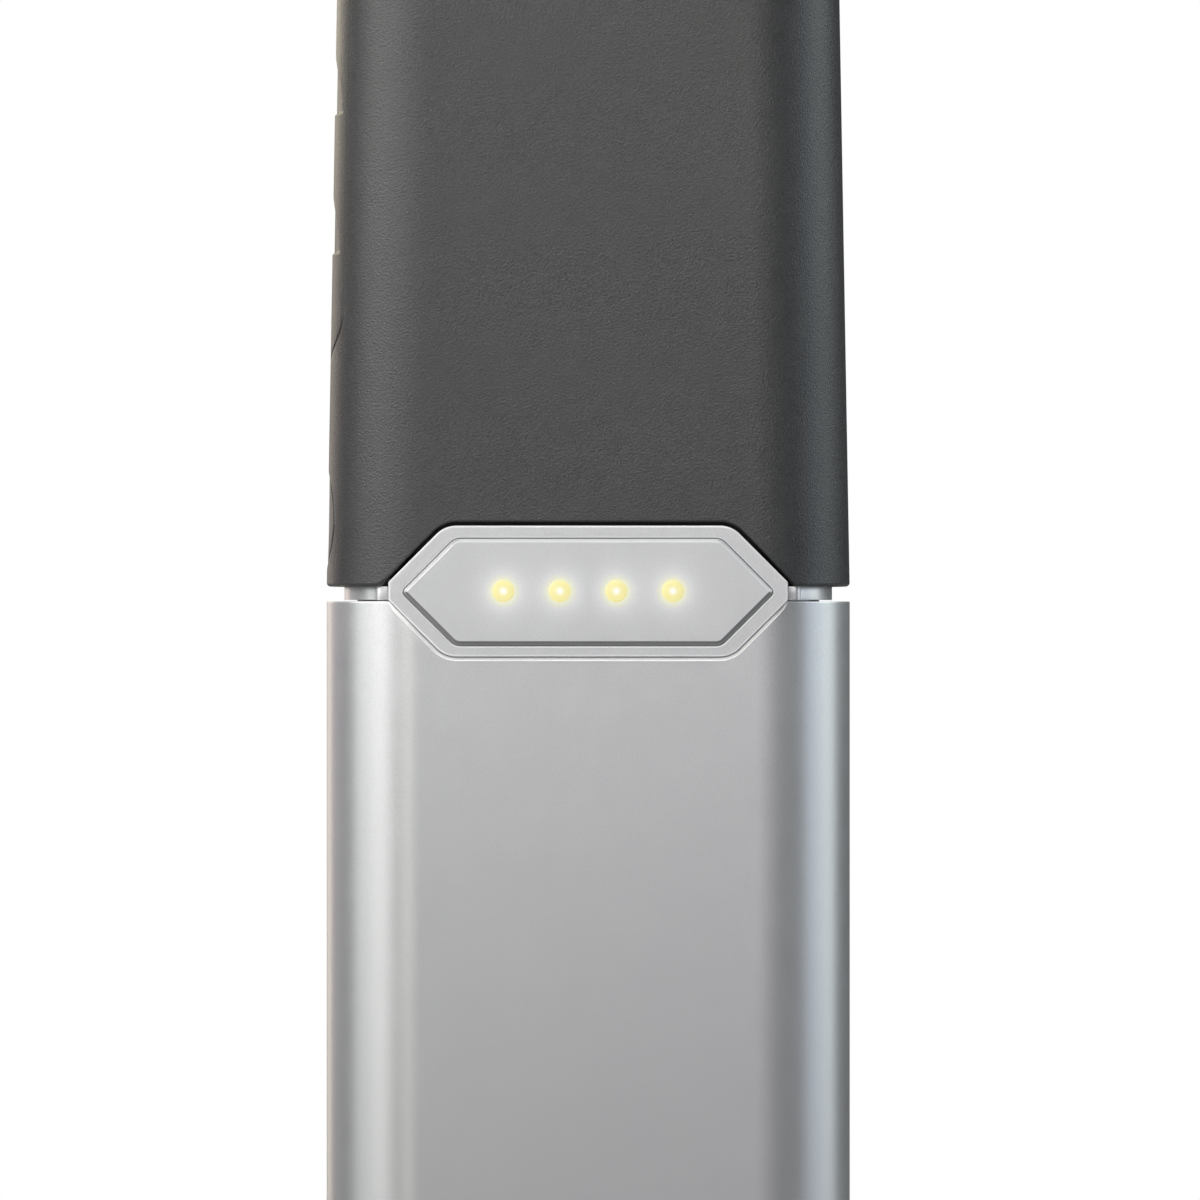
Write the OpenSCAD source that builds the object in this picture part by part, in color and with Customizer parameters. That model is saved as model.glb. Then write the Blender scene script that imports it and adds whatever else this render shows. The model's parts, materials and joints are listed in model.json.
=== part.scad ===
// Cordless electric eraser, standing on its base with the eraser at the top.
// The origin is the centre of the base, +Z runs up the body to the eraser,
// and the charge indicator faces -Y. All sizes are in millimetres.

/* [Body] */
// Width of the body at the joint between housing and grip
body_w = 28; // [28:0.5:30]
// Depth of the body at the joint
body_d = 22; // [22:0.5:24]
// Corner radius of the body's section
corner_r = 5; // [4.5:0.5:5.5]
// Wall of the battery housing
housing_wall = 1.5; // [1.2:0.1:1.5]
// Wall of the grip shell
grip_wall = 1.6; // [1.4:0.1:1.6]
// Height of the joint above the base
joint_z = 74; // [74:0.5:80]
// Gap between housing and grip, where the neck shows
joint_gap = 0.8; // [0.6:0.1:1]
// Length of the grip shell
grip_len = 71.6; // [71.6:0.1:73]
// Radius of the grip's nose
nose_r = 8.4; // [8.4:0.1:8.8]

/* [Indicator] */
// Width of the indicator bezel across its points
bezel_w = 21.2; // [20:0.2:22]
// Height of the indicator bezel
bezel_h = 6.95; // [6.4:0.1:7.2]
// Width of the raised panel across its points
panel_w = 19.9; // [19:0.1:20]
// Height of the raised panel
panel_h = 5.8; // [5:0.1:5.8]
// Distance between indicator lights
light_pitch = 3; // [2.6:0.1:3.2]
// Diameter of one light pipe
light_d = 1.2; // [1:0.1:1.4]

/* [Side controls] */
// Height of the button's centre above the joint
button_up = 3.95; // [3.8:0.05:4.2]
// Length of the button across the side
button_len = 15.6; // [14:0.2:16]
// Height of the button
button_h = 5.2; // [4.6:0.1:5.4]
// Travel of the button
button_travel = 0.35; // [0.25:0.05:0.4]
// Distance between the thumb scoops of the side grip
scoop_pitch = 7.45; // [7:0.05:8]
// Number of thumb scoops
scoop_count = 3; // [1:1:3]

/* [Drive] */
// Module of the gear teeth
tooth_module = 0.4; // [0.38:0.01:0.4]
// Teeth on the sun gear
sun_teeth = 12; // [12:1:12]
// Teeth on each planet gear
planet_teeth = 12; // [12:1:12]
// Width of the gear faces
gear_face = 4.6; // [4:0.1:4.6]
// Diameter of the motor shaft
motor_shaft_d = 2; // [1.5:0.5:2]
// Diameter of the spindle in its bearings
spindle_d = 6; // [5.5:0.1:6]

/* [Eraser] */
// Diameter of the eraser refill
eraser_d = 6.9; // [6.7:0.05:6.9]
// Length of the eraser refill
eraser_len = 25.4; // [22:0.2:30]

/* [Hidden] */
$fn = 48;
slice_fn = 32;
eps = 0.01;
cut = 40;                 // longer than any wall that a cutter passes through
fit = 0.05;               // clearance between parts that fit together

// Base and housing
pad_t = 1;
pad_proud = 0.6;
housing_z0 = 2.6;
housing_z1 = joint_z - joint_gap / 2;
inner_w = body_w - 2 * housing_wall;
inner_d = body_d - 2 * housing_wall;
inner_r = corner_r - housing_wall;
spigot_fit = 0.1;
base_screw_x = 9;

// Battery and boards
cell_y = 1.4;
cell_r = 7;
cell_z0 = 14;
cell_z1 = 63.4;
board_y = -7;             // front face of the main board
board_t = 1;
charge_z = 7;
usb_z = 9.4;
usb_w = 8.94;
usb_h = 3.2;
usb_mouth_y = inner_d / 2 + 0.1;
cradle_top = 66;

// Port cover
cover_w = 12.8;
cover_z0 = 5.5;
cover_t = 1;
cover_pin_y = body_d / 2 - 0.5;
cover_pin_z = 13.2;
cover_pin_r = 0.3;
knuckle_r = 0.6;

// Neck
neck_w = body_w - 1.9;
neck_d = body_d - 1.9;
neck_r = 4.05;
frame_top = joint_z + 10;

// Grip
grip_z0 = joint_z + joint_gap / 2;
grip_z1 = grip_z0 + grip_len;
grip_taper_x = 0.0172;    // half-width lost for each millimetre of height
grip_taper_y = 0.0103;    // half-depth lost for each millimetre of height
nose_start = grip_z0 + 33.6;
nose_power = 2.2;

// Side controls
button_z = joint_z + button_up;
side_pad_t = 0.9;
side_pad_half = 8.35;
side_pad_z0 = joint_z + 15.05;  // centre of the pad's lower end
side_pad_z1 = joint_z + 41;
side_pad_end = 3.6;             // height of the pad's curved ends
scoop_z = joint_z + 18.15;      // ledge of the lowest scoop
scoop_half = 7.8;
scoop_h = 5;
scoop_depth = 0.2;
spine_half = 2.5;               // flat left standing between the scoops
switch_x = -8.9;                // face of the switch board
button_foot_x = -11.4;

// Indicator
plate_z = joint_z + 0.15;
bezel_y = -body_d / 2 - 0.25;
panel_y = -body_d / 2 - 0.5;
bezel_t = 1.35;
panel_bevel = 0.28;
bezel_corner_r = 1.5;
bezel_tip = 0.48;

// Motor
motor_z0 = joint_z + 12;
motor_z1 = motor_z0 + 25;
motor_w = 20.1;
motor_d = 15.1;
motor_wall = 0.8;
rotor_r = 6.3;

// Gears
pressure_angle = 20;
ring_teeth = sun_teeth + 2 * planet_teeth;
planet_count = 3;
orbit_r = tooth_module * (sun_teeth + planet_teeth) / 2;
plate_z1 = motor_z1 + 2;
gear_z0 = plate_z1 + 1.2;
carrier_z0 = gear_z0 + gear_face + 0.4;
carrier_t = 2;
case_z1 = plate_z1 + 8.6;
case_r = 8.4;
case_bore_r = 7.7;
ear_x = 9;
ear_r = 1.7;

// Spindle and bearings
bearing_r = 6.5;
bearing_w = 3.5;
rear_bearing_z = case_z1 + 2.6;
front_bearing_z = rear_bearing_z + 11.9;
shoulder_z = front_bearing_z + bearing_w;
housing_r = 7.3;
nose_thread_r = 6.9;
head_r = 5.4;
head_z0 = shoulder_z + 1.4;
head_z1 = head_z0 + 14;
nut_z0 = head_z1 - 5;
nut_z1 = nut_z0 + 11.5;
collet_r = 4.7;
eraser_z0 = head_z0 + 1.6;

// ---------- Shared shapes ----------

// A rectangle with round corners, centred on the origin
module rounded_rect(w, d, r) {
  square([w - 2 * r, d], center = true);
  square([w, d - 2 * r], center = true);
  for (x = [-1, 1], y = [-1, 1])
    translate([x * (w / 2 - r), y * (d / 2 - r)]) circle(r);
}

// A rounded block between two heights
module block(w, d, r, z0, z1) {
  translate([0, 0, z0]) linear_extrude(z1 - z0) rounded_rect(w, d, r);
}

// A plain box given by its lowest corner and its size
module box(corner, size) {
  translate(corner) cube(size);
}

// A tube between two heights
module ring(r_out, r_in, z0, z1) {
  translate([0, 0, z0]) difference() {
    cylinder(r = r_out, h = z1 - z0);
    translate([0, 0, -eps]) cylinder(r = r_in, h = z1 - z0 + 2 * eps);
  }
}

// A rod between two heights
module rod(r, z0, z1) {
  translate([0, 0, z0]) cylinder(r = r, h = z1 - z0);
}

// A slot with round ends, long along X
module obround(len, h) {
  square([len - h, h], center = true);
  for (x = [-1, 1]) translate([x * (len - h) / 2, 0]) circle(h / 2);
}

// Stands a flat outline up so that it faces -Y, between y0 (front) and y1
module facing_front(y0, y1) {
  translate([0, y1, 0]) rotate([90, 0, 0]) linear_extrude(y1 - y0) children();
}

// Stands a flat outline up so that it faces -X, between x0 (outside) and x1.
// The outline's x runs along -Y and its y runs up.
module facing_left(x0, x1) {
  translate([x1, 0, 0]) rotate([90, 0, -90]) linear_extrude(x1 - x0) children();
}

// Points of a fillet of radius r at corner b, between neighbours a and c
function unit(v) = v / norm(v);
function fillet(a, b, c, r, n = 6) =
  let (u = unit(a - b), v = unit(c - b),
       half = acos(u * v) / 2,
       centre = b + unit(u + v) * r / sin(half),
       p = b + u * r / tan(half) - centre,
       q = b + v * r / tan(half) - centre,
       turn = acos(min(1, (p * q) / (r * r))))
  [for (i = [0:n]) centre + (p * sin(turn * (1 - i / n)) + q * sin(turn * i / n)) / sin(turn)];

// A long hexagon w across its points and h high, with 45 degree ends.
// tip cuts the points off square, and r rounds the four long corners.
function hexagon_corners(w, h, tip) =
  [for (s = [1, -1]) each [
    [s * w / 2, -s * tip], [s * w / 2, s * tip],
    [s * (w / 2 + tip - h / 2), s * h / 2], [-s * (w / 2 + tip - h / 2), s * h / 2]]];

module long_hexagon(w, h, tip, r, grow = 0) {
  corners = hexagon_corners(w + 2 * grow, h + 2 * grow, tip + grow * (sqrt(2) - 1));
  n = len(corners);
  polygon([for (i = [0:n - 1]) each
    let (a = corners[(i + n - 1) % n], b = corners[i], c = corners[(i + 1) % n])
    (i % 4 < 2) ? [b] : fillet(a, b, c, r + grow)]);
}

// The grip's outer form, or with inset the form that far inside it
function nose_share(z) = max(0, (z - nose_start) / (grip_z1 - nose_start));
function grip_half(half, taper, z) =
  let (end = half - taper * grip_len)
  half - taper * (z - grip_z0) - (end - nose_r) * pow(nose_share(z), nose_power);
function grip_half_x(z) = grip_half(body_w / 2, grip_taper_x, z);
function grip_half_y(z) = grip_half(body_d / 2, grip_taper_y, z);
function grip_corner(z) =
  min(corner_r + (nose_r - corner_r) * pow(nose_share(z), 1.5), grip_half_y(z));

module grip_form(inset = 0) {
  nose_slices = 8;
  levels = concat([grip_z0],
    [for (i = [0:nose_slices]) nose_start + (grip_z1 - nose_start) * i / nose_slices]);
  hull() for (z = levels)
    translate([0, 0, z - (z > grip_z0 ? eps : 0)]) linear_extrude(eps)
      rounded_rect(2 * (grip_half_x(z) - inset), 2 * (grip_half_y(z) - inset),
        grip_corner(z) - inset - eps, $fn = slice_fn);
}

// Outline of the side pad: straight sides with shallow curved ends
module side_pad_outline(grow = 0) {
  half = side_pad_half + grow;
  end = side_pad_end + grow;
  steps = 12;
  polygon(concat(
    [for (i = [0:steps]) let (a = 180 * i / steps)
      [half * cos(a), side_pad_z1 + end * sin(a)]],
    [for (i = [0:steps]) let (a = 180 + 180 * i / steps)
      [half * cos(a), side_pad_z0 + end * sin(a)]]));
}

// Outline of one pair of thumb scoops: an arch on a level ledge, split by the spine
module scoop_outline(z) {
  steps = 12;
  difference() {
    polygon([for (i = [0:steps]) let (a = 180 * i / steps)
      [scoop_half * cos(a), z + scoop_h * sin(a)]]);
    translate([-spine_half, z - 1]) square([2 * spine_half, scoop_h + 2]);
  }
}

module button_outline(grow = 0) {
  translate([0, button_z]) obround(button_len + 2 * grow, button_h + 2 * grow);
}

// Places a shape at each light of the indicator
module at_lights() {
  for (i = [-1.5:1:1.5]) translate([i * light_pitch, 0, plate_z]) children();
}

// A rod that runs from y0 to y1
module rod_along_y(r, y0, y1) {
  translate([0, y0, 0]) rotate([-90, 0, 0]) cylinder(r = r, h = y1 - y0);
}

// A cross-recess screw whose head's top is at z = 0 and whose shank points down
module screw(shank_r, head_r, head_h, len) {
  difference() {
    union() {
      translate([0, 0, -head_h]) cylinder(r = head_r, h = head_h);
      translate([0, 0, -len]) cylinder(r = shank_r, h = len - head_h + eps);
    }
    for (a = [0, 90]) rotate(a)
      translate([0, 0, -head_h * 0.3]) cube([head_r * 1.2, head_r * 0.3, head_h * 0.6 + eps], center = true);
  }
}

// ---------- Gear teeth ----------

// Angle between an involute's start and its point at radius r, in degrees
function involute_angle(base_r, r) =
  let (a = acos(min(1, base_r / r))) tan(a) * 180 / PI - a;

// Half the angle that a tooth spans at radius r; thin narrows each flank
function tooth_half_angle(teeth, r, thin) =
  let (pitch_r = tooth_module * teeth / 2, base_r = pitch_r * cos(pressure_angle))
  90 / teeth - thin / pitch_r * 180 / PI
  + involute_angle(base_r, pitch_r) - involute_angle(base_r, max(r, base_r));

module gear_outline(teeth, tip_r, root_r, thin) {
  steps = 4;
  radii = [for (i = [0:steps]) root_r + (tip_r - root_r) * i / steps];
  flank = [for (r = radii) [r, tooth_half_angle(teeth, r, thin)]];
  tooth = concat(
    [for (f = flank) [f[0], -f[1]]],
    [for (i = [steps:-1:0]) flank[i]]);
  polygon([for (k = [0:teeth - 1]) each
    [for (p = tooth) p[0] * [cos(p[1] + 360 * k / teeth), sin(p[1] + 360 * k / teeth)]]]);
}

backlash = 0.03;
addendum = 0.75 * tooth_module;
dedendum = 1.05 * tooth_module;
ring_addendum = 0.52 * tooth_module;

module pinion(teeth, bore_r) {
  pitch_r = tooth_module * teeth / 2;
  linear_extrude(gear_face) difference() {
    gear_outline(teeth, pitch_r + addendum, pitch_r - dedendum, backlash);
    circle(bore_r);
  }
}

// ---------- Base and battery housing ----------

module at_base_screws() {
  for (x = [-1, 1]) translate([x * base_screw_x, 0, 0]) children();
}

module foot_pad() {
  color("#2b2c2e") difference() {
    block(24.2, 18.2, 3.2, 0, pad_t);
    at_base_screws() rod(2.5, -eps, pad_t + eps);
    for (x = [-4:2:4]) box([x - 0.35, -6, -eps], [0.7, 12, 0.3 + eps]);
  }
}

module base_cap() {
  color("#4c4d4f") difference() {
    union() {
      block(body_w, body_d, corner_r, pad_proud, housing_z0);
      block(inner_w - 2 * spigot_fit, inner_d - 2 * spigot_fit, inner_r - spigot_fit,
        housing_z0 - eps, 7);
    }
    block(24.4, 18.4, 3.3, pad_proud - eps, pad_t);
    block(13, 14, 2, 4, 7 + eps);
    at_base_screws() {
      rod(1.1, 0, 8);
      rod(2.1, 0, 2.6);
    }
  }
}

module base_screws() {
  color("#c9cacc") at_base_screws()
    translate([0, 0, 1.2]) mirror([0, 0, 1]) screw(1, 1.9, 1.4, 11);
}

module port_pocket() {
  low = cover_z0 - 0.2;
  high = cover_pin_z + knuckle_r + 0.2;
  translate([0, 0, (low + high) / 2]) facing_front(cover_pin_y - knuckle_r - 0.05, cut)
    rounded_rect(cover_w + 0.3, high - low, 0.8);
}

module battery_housing() {
  color("#b9bbbe") difference() {
    block(body_w, body_d, corner_r, housing_z0, housing_z1);
    block(inner_w, inner_d, inner_r, housing_z0 - eps, housing_z1 + eps);
    translate([0, 0, plate_z]) facing_front(-cut, 0)
      long_hexagon(bezel_w, bezel_h, bezel_tip, bezel_corner_r, 0.06);
    port_pocket();
    translate([0, 0, usb_z]) facing_front(0, cut) obround(9.6, 3.9);
    translate([-cover_w / 2 - 1, cover_pin_y, cover_pin_z]) rotate([0, 90, 0])
      cylinder(r = cover_pin_r + 0.01, h = cover_w + 2);
  }
}

module port_cover() {
  plate_z1 = cover_pin_z - 0.1;
  plate_y0 = cover_pin_y - 0.5;
  color("#47484a") difference() {
    union() {
      translate([0, 0, (cover_z0 + plate_z1) / 2])
        facing_front(plate_y0, plate_y0 + cover_t)
          rounded_rect(cover_w, plate_z1 - cover_z0, 0.7);
      translate([0, 0, usb_z]) facing_front(plate_y0 - 0.3, plate_y0 + eps) obround(9, 3.3);
      translate([-cover_w / 2, cover_pin_y, cover_pin_z]) rotate([0, 90, 0])
        cylinder(r = knuckle_r, h = cover_w);
    }
    translate([-cover_w / 2 - 1, cover_pin_y, cover_pin_z]) rotate([0, 90, 0])
      cylinder(r = cover_pin_r + 0.03, h = cover_w + 2);
    box([-3, plate_y0 + cover_t - 0.3, cover_z0 - eps], [6, 1, 0.7]);
  }
}

module port_hinge_pin() {
  color("#c9cacc") translate([-cover_w / 2 - 0.9, cover_pin_y, cover_pin_z])
    rotate([0, 90, 0]) cylinder(r = cover_pin_r, h = cover_w + 1.8);
}

// ---------- Battery and electronics ----------

module battery_cradle() {
  pocket_x = 7.1;
  color("#3a3b3e") difference() {
    block(inner_w - 0.3, inner_d - 0.3, inner_r - 0.15, 7, cradle_top);
    translate([0, cell_y, 0]) rod(cell_r + 0.15, 13.4, cradle_top + eps);
    box([-10.25, board_y - fit, 6.9], [20.5, board_t + 2 * fit, cradle_top]);
    box([-pocket_x, -cut, 12], [2 * pocket_x, cut + board_y + board_t + 0.6, cradle_top]);
    box([-pocket_x, board_y, 6.9], [2 * pocket_x, cut, 6.6]);
    at_base_screws() rod(1.02, 6.9, 12.6);
    box([-cut, -4, 20], [2 * cut, 9, 36]);
    box([-4, 0, 20], [8, cut, 36]);
  }
}

module battery_cell() {
  color("#3f6fa8") translate([0, cell_y, 0]) union() {
    rod(cell_r, cell_z0, cell_z1 - 0.6);
    rod(cell_r - 0.5, cell_z1 - 0.7, cell_z1);
  }
}

module battery_terminal() {
  color("#d5d6d8") translate([0, cell_y, 0]) {
    rod(3, cell_z1, cell_z1 + 0.6);
  }
}

module battery_tabs() {
  color("#d5d6d8") {
    box([-2, board_y + board_t, cell_z1 + 0.6], [4, 9, 0.2]);
    box([-2, board_y + board_t, cell_z0 - 0.2], [4, 9, 0.2]);
  }
}

module charge_board() {
  color("#1f6b45") box([-7, board_y + board_t, charge_z], [14, 14.4, 0.8]);
}

module usb_shell() {
  color("#c9cacc") translate([0, 0, usb_z]) facing_front(usb_mouth_y - 7.3, usb_mouth_y)
    difference() {
      obround(usb_w, usb_h);
      obround(usb_w - 0.6, usb_h - 0.6);
    }
}

module usb_tongue() {
  color("#222324") {
    translate([0, 0, usb_z]) facing_front(usb_mouth_y - 7.3, usb_mouth_y - 5)
      obround(usb_w - 0.6, usb_h - 0.6);
    box([-3.35, usb_mouth_y - 5.01, usb_z - 0.35], [6.7, 4.4, 0.7]);
  }
}

module main_board() {
  color("#1f6b45") difference() {
    box([-10, board_y, 7], [20, board_t, joint_z - 1]);
    for (x = [-1, 1]) translate([x * 8, 0, 14]) rod_along_y(1, board_y - 1, board_y + 2);
  }
}

module board_chips() {
  chip_h = 0.9;
  color("#222324") {
    box([-2.5, board_y - chip_h, 24], [5, chip_h, 5]);
    box([-5.5, board_y - chip_h, 33], [3.9, chip_h, 4.9]);
    box([1.5, board_y - chip_h, 33], [4, chip_h, 4]);
    for (i = [0:4]) box([-5 + 2.2 * i, board_y - 0.5, 44], [1, 0.5, 1.8]);
    for (i = [0:3]) box([-4.5 + 2.6 * i, board_y - 0.5, 50], [1.6, 0.5, 0.8]);
  }
}

module indicator_leds() {
  color("#f4ecc0") at_lights() box([-0.8, board_y - 0.6, -0.4], [1.6, 0.6, 0.8]);
}

module light_pipes() {
  color("#fdf6c8") at_lights() rod_along_y(light_d / 2, panel_y - 0.03, board_y - 0.7);
}

module indicator_bezel() {
  color("#c2c4c6") translate([0, 0, plate_z]) facing_front(bezel_y, bezel_y + bezel_t)
    difference() {
      long_hexagon(bezel_w, bezel_h, bezel_tip, bezel_corner_r);
      long_hexagon(panel_w, panel_h, 0.02, 0.6, 0.02);
    }
}

module indicator_panel() {
  face_y = bezel_y;
  color("#c8cacc") difference() {
    translate([0, 0, plate_z]) union() {
      facing_front(face_y, bezel_y + bezel_t)
        long_hexagon(panel_w, panel_h, 0.02, 0.6);
      hull() {
        facing_front(face_y, face_y + eps) long_hexagon(panel_w, panel_h, 0.02, 0.6, $fn = slice_fn);
        facing_front(panel_y, panel_y + eps)
          long_hexagon(panel_w - 2.8 * panel_bevel, panel_h - 2 * panel_bevel, 0.02, 0.6);
      }
    }
    at_lights() rod_along_y(light_d / 2 + 0.02, -cut, 0);
  }
}

module switch_board() {
  color("#1f6b45") box([switch_x, board_y + board_t, button_z - 3], [0.8, 12, 6.2]);
}

module tact_switch() {
  side = 5.2;
  body_t = 1.5;
  color("#2b2c2e") difference() {
    box([switch_x - body_t, -side / 2, button_z - side / 2], [body_t, side, side]);
    translate([switch_x - body_t - eps, 0, button_z]) rotate([0, 90, 0])
      cylinder(r = 1.36, h = 0.95);
  }
}

module tact_plunger() {
  color("#e9e4d8") translate([button_foot_x, 0, button_z]) rotate([0, 90, 0])
    cylinder(r = 1.3, h = 1.3);
}

module power_button() {
  flange_x = -grip_half_x(button_z - button_h / 2) + grip_wall + 0.15;
  color("#56585b") union() {
    intersection() {
      grip_form(0.05);
      facing_left(-cut, flange_x + 0.1) button_outline();
    }
    facing_left(flange_x, button_foot_x)
      translate([0, button_z]) obround(button_len - 3, button_h + 0.7);
  }
}

// ---------- Neck, indicator seat and grip ----------

module mid_frame() {
  hollow_w = 21.6;
  hollow_d = 2 * (-board_y + 0.1);
  color("#a9abae") difference() {
    union() {
      block(inner_w - 2 * spigot_fit, inner_d - 2 * spigot_fit, inner_r - spigot_fit,
        cradle_top, housing_z1 + eps);
      block(neck_w - 1.4, neck_d - 1.4, neck_r - 0.7, housing_z1, grip_z0);
      block(neck_w, neck_d, neck_r, housing_z1 + 0.08, grip_z0);
      block(22.6, neck_d, 0.3, housing_z1 + 0.08, grip_z0);
      block(24.2, 18.4, 3, grip_z0 - eps, frame_top);
      translate([0, 0, plate_z]) facing_front(bezel_y + bezel_t, -8.6)
        long_hexagon(bezel_w - 1.2, bezel_h - 1.2, bezel_tip, 1);
    }
    translate([0, 0, plate_z]) facing_front(-cut, bezel_y + bezel_t)
      long_hexagon(bezel_w, bezel_h, bezel_tip, bezel_corner_r, 0.05);
    block(hollow_w, hollow_d, 1, cradle_top - eps, frame_top + eps);
    box([-2 * light_pitch, board_y - 0.7, plate_z - 0.6], [4 * light_pitch, 1, 1.2]);
    box([-cut, -8.2, grip_z0 + 0.2], [cut - 9, 16.4, cut]);
    at_lights() rod_along_y(light_d / 2 + fit, -cut, 0);
  }
}

module side_grip() {
  color("#3b3c3f") difference() {
    intersection() {
      grip_form();
      facing_left(-cut, -6) side_pad_outline();
    }
    grip_form(side_pad_t);
    difference() {
      facing_left(-cut, -6)
        for (k = [0:scoop_count - 1]) scoop_outline(scoop_z + k * scoop_pitch);
      grip_form(scoop_depth);
    }
  }
}

module grip_shell() {
  color("#5a5b5d") difference() {
    grip_form();
    difference() {
      grip_form(grip_wall);
      rod(cut, grip_z1 - 2.5, grip_z1 + 1);
    }
    rod(housing_r + 0.1, grip_z1 - 6, grip_z1 - 2.5);
    rod(nose_thread_r + fit, grip_z1 - 4, grip_z1 + 1);
    translate([0, 0, plate_z]) facing_front(-cut, 0)
      long_hexagon(bezel_w, bezel_h, bezel_tip, bezel_corner_r, 0.2);
    facing_left(-cut, -6) button_outline(0.1);
    difference() {
      facing_left(-cut, -6) side_pad_outline(0.03);
      grip_form(side_pad_t + 0.02);
    }
  }
}

// ---------- Motor ----------

module motor_section(inset) {
  intersection() {
    circle(motor_w / 2 - inset);
    square([motor_w, motor_d - 2 * inset], center = true);
  }
}

module motor_can() {
  color("#c4c6c8") difference() {
    union() {
      translate([0, 0, motor_z0 + 2]) linear_extrude(23) motor_section(0);
      rod(3, motor_z1 - eps, motor_z1 + 1.8);
    }
    translate([0, 0, motor_z0]) linear_extrude(25 - motor_wall) motor_section(motor_wall);
    rod(2.2, motor_z1 - 2, motor_z1 + 3);
    at_motor_screws() rod(0.82, motor_z1 - 2, motor_z1 + 1);
  }
}

module at_motor_screws() {
  for (x = [-6, 6]) translate([x, 0, 0]) children();
}

module motor_magnets() {
  color("#3d3f42") translate([0, 0, motor_z0 + 6]) linear_extrude(15)
    intersection() {
      difference() {
        circle(motor_w / 2 - motor_wall - 0.02);
        circle(rotor_r + 0.35);
      }
      union() for (x = [-1, 1]) translate([x * 7, 0]) square([8, 9.6], center = true);
    }
}

module motor_front_bush() {
  color("#b08d57") ring(2.2, motor_shaft_d / 2 + 0.02, motor_z1 - 1.2, motor_z1 + 1.8);
}

module motor_rear_bush() {
  color("#b08d57") ring(2.2, motor_shaft_d / 2 + 0.02, motor_z0 + 0.2, motor_z0 + 2.2);
}

module motor_end_bell() {
  color("#e6e3da") difference() {
    union() {
      translate([0, 0, motor_z0]) linear_extrude(2) motor_section(0);
      translate([0, 0, motor_z0 + 2 - eps]) linear_extrude(1.6) motor_section(motor_wall + fit);
    }
    rod(2.2, motor_z0 + 0.2, motor_z0 + 5);
    rod(5, motor_z0 + 2.2, motor_z0 + 5);
    for (x = [-1, 1]) box([x * 6.5 - 1.1, -0.3, motor_z0 - 1], [2.2, 0.6, 6]);
  }
}

module motor_terminals() {
  color("#d9b45b") for (x = [-1, 1]) {
    box([x * 6.5 - 1, -0.2, motor_z0 - 3], [2, 0.4, 7.2]);
    box([x > 0 ? 2.15 : -7.5, -0.2, motor_z0 + 4.2 - eps], [5.35, 0.4, 1.6]);
  }
}

module motor_shaft() {
  color("#d5d6d8") rod(motor_shaft_d / 2, motor_z0 + 0.6, gear_z0 + gear_face + 0.1);
}

module rotor_core() {
  color("#7b7d80") translate([0, 0, motor_z0 + 8]) linear_extrude(11) difference() {
    circle(rotor_r);
    circle(motor_shaft_d / 2);
    for (a = [60, 180, 300]) rotate(a) {
      translate([3.6, 0]) circle(1.5);
      translate([5.5, 0]) square([3, 0.9], center = true);
    }
  }
}

module rotor_windings() {
  color("#b5652d") for (a = [60, 180, 300]) rotate(a)
    translate([3.6, 0, 0]) rod(1.42, motor_z0 + 7.1, motor_z0 + 19.9);
}

module commutator() {
  color("#b98a4a") difference() {
    ring(2.1, motor_shaft_d / 2, motor_z0 + 3.2, motor_z0 + 6.8);
    for (a = [0, 120, 240]) rotate(a)
      box([1.7, -0.12, motor_z0 + 3.1], [1, 0.24, 3.8]);
  }
}

module motor_plate() {
  color("#c4c6c8") difference() {
    block(22.4, 17, 3.2, motor_z1, plate_z1);
    rod(3.03, motor_z1 - 1, plate_z1 + 1);
    at_motor_screws() {
      rod(0.85, motor_z1 - 1, plate_z1 + 1);
      rod(1.65, plate_z1 - 1.05, plate_z1 + 1);
    }
    at_ears() rod(0.82, motor_z1 - 1, plate_z1 + 1);
  }
}

module motor_screws() {
  color("#d5d6d8") at_motor_screws()
    translate([0, 0, plate_z1 - 0.05]) screw(0.8, 1.6, 1, 3.1);
}

// ---------- Planetary gears ----------

module at_ears() {
  for (x = [-1, 1]) translate([x * ear_x, 0, 0]) children();
}

module gear_case() {
  ring_pitch_r = tooth_module * ring_teeth / 2;
  tooth_z0 = gear_z0 - 0.2;
  tooth_z1 = gear_z0 + gear_face + 0.2;
  color("#e8e4d6") difference() {
    union() {
      rod(case_r, plate_z1, case_z1);
      at_ears() rod(ear_r, plate_z1, case_z1);
    }
    translate([0, 0, plate_z1 - 1]) rotate(180 / ring_teeth) linear_extrude(cut)
      gear_outline(ring_teeth, ring_pitch_r + dedendum, ring_pitch_r - ring_addendum, -backlash);
    rod(case_bore_r, plate_z1 - 1, tooth_z0);
    rod(case_bore_r, tooth_z1, case_z1 + 1);
    at_ears() rod(0.82, plate_z1 - 1, case_z1 + 1);
  }
}

module gearbox_screws() {
  head_h = 1;
  color("#d5d6d8") at_ears()
    translate([0, 0, case_z1 + 1.6 + head_h]) screw(0.8, 1.5, head_h, 12.5);
}

module sun_gear() {
  color("#d9b45b") translate([0, 0, gear_z0]) pinion(sun_teeth, motor_shaft_d / 2);
}

// One planet gear; k counts them round the sun
module planet_gear(k) {
  color("#efe9da") rotate(360 / planet_count * k)
    translate([orbit_r, 0, gear_z0]) rotate(180 / planet_teeth)
      pinion(planet_teeth, 0.83);
}
module planet_gear_1() { planet_gear(0); }
module planet_gear_2() { planet_gear(1); }
module planet_gear_3() { planet_gear(2); }

module at_planets() {
  for (k = [0:planet_count - 1]) rotate(360 / planet_count * k)
    translate([orbit_r, 0, 0]) children();
}

module planet_pins() {
  color("#d5d6d8") at_planets() rod(0.8, gear_z0 - 0.2, carrier_z0 + carrier_t);
}

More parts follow.
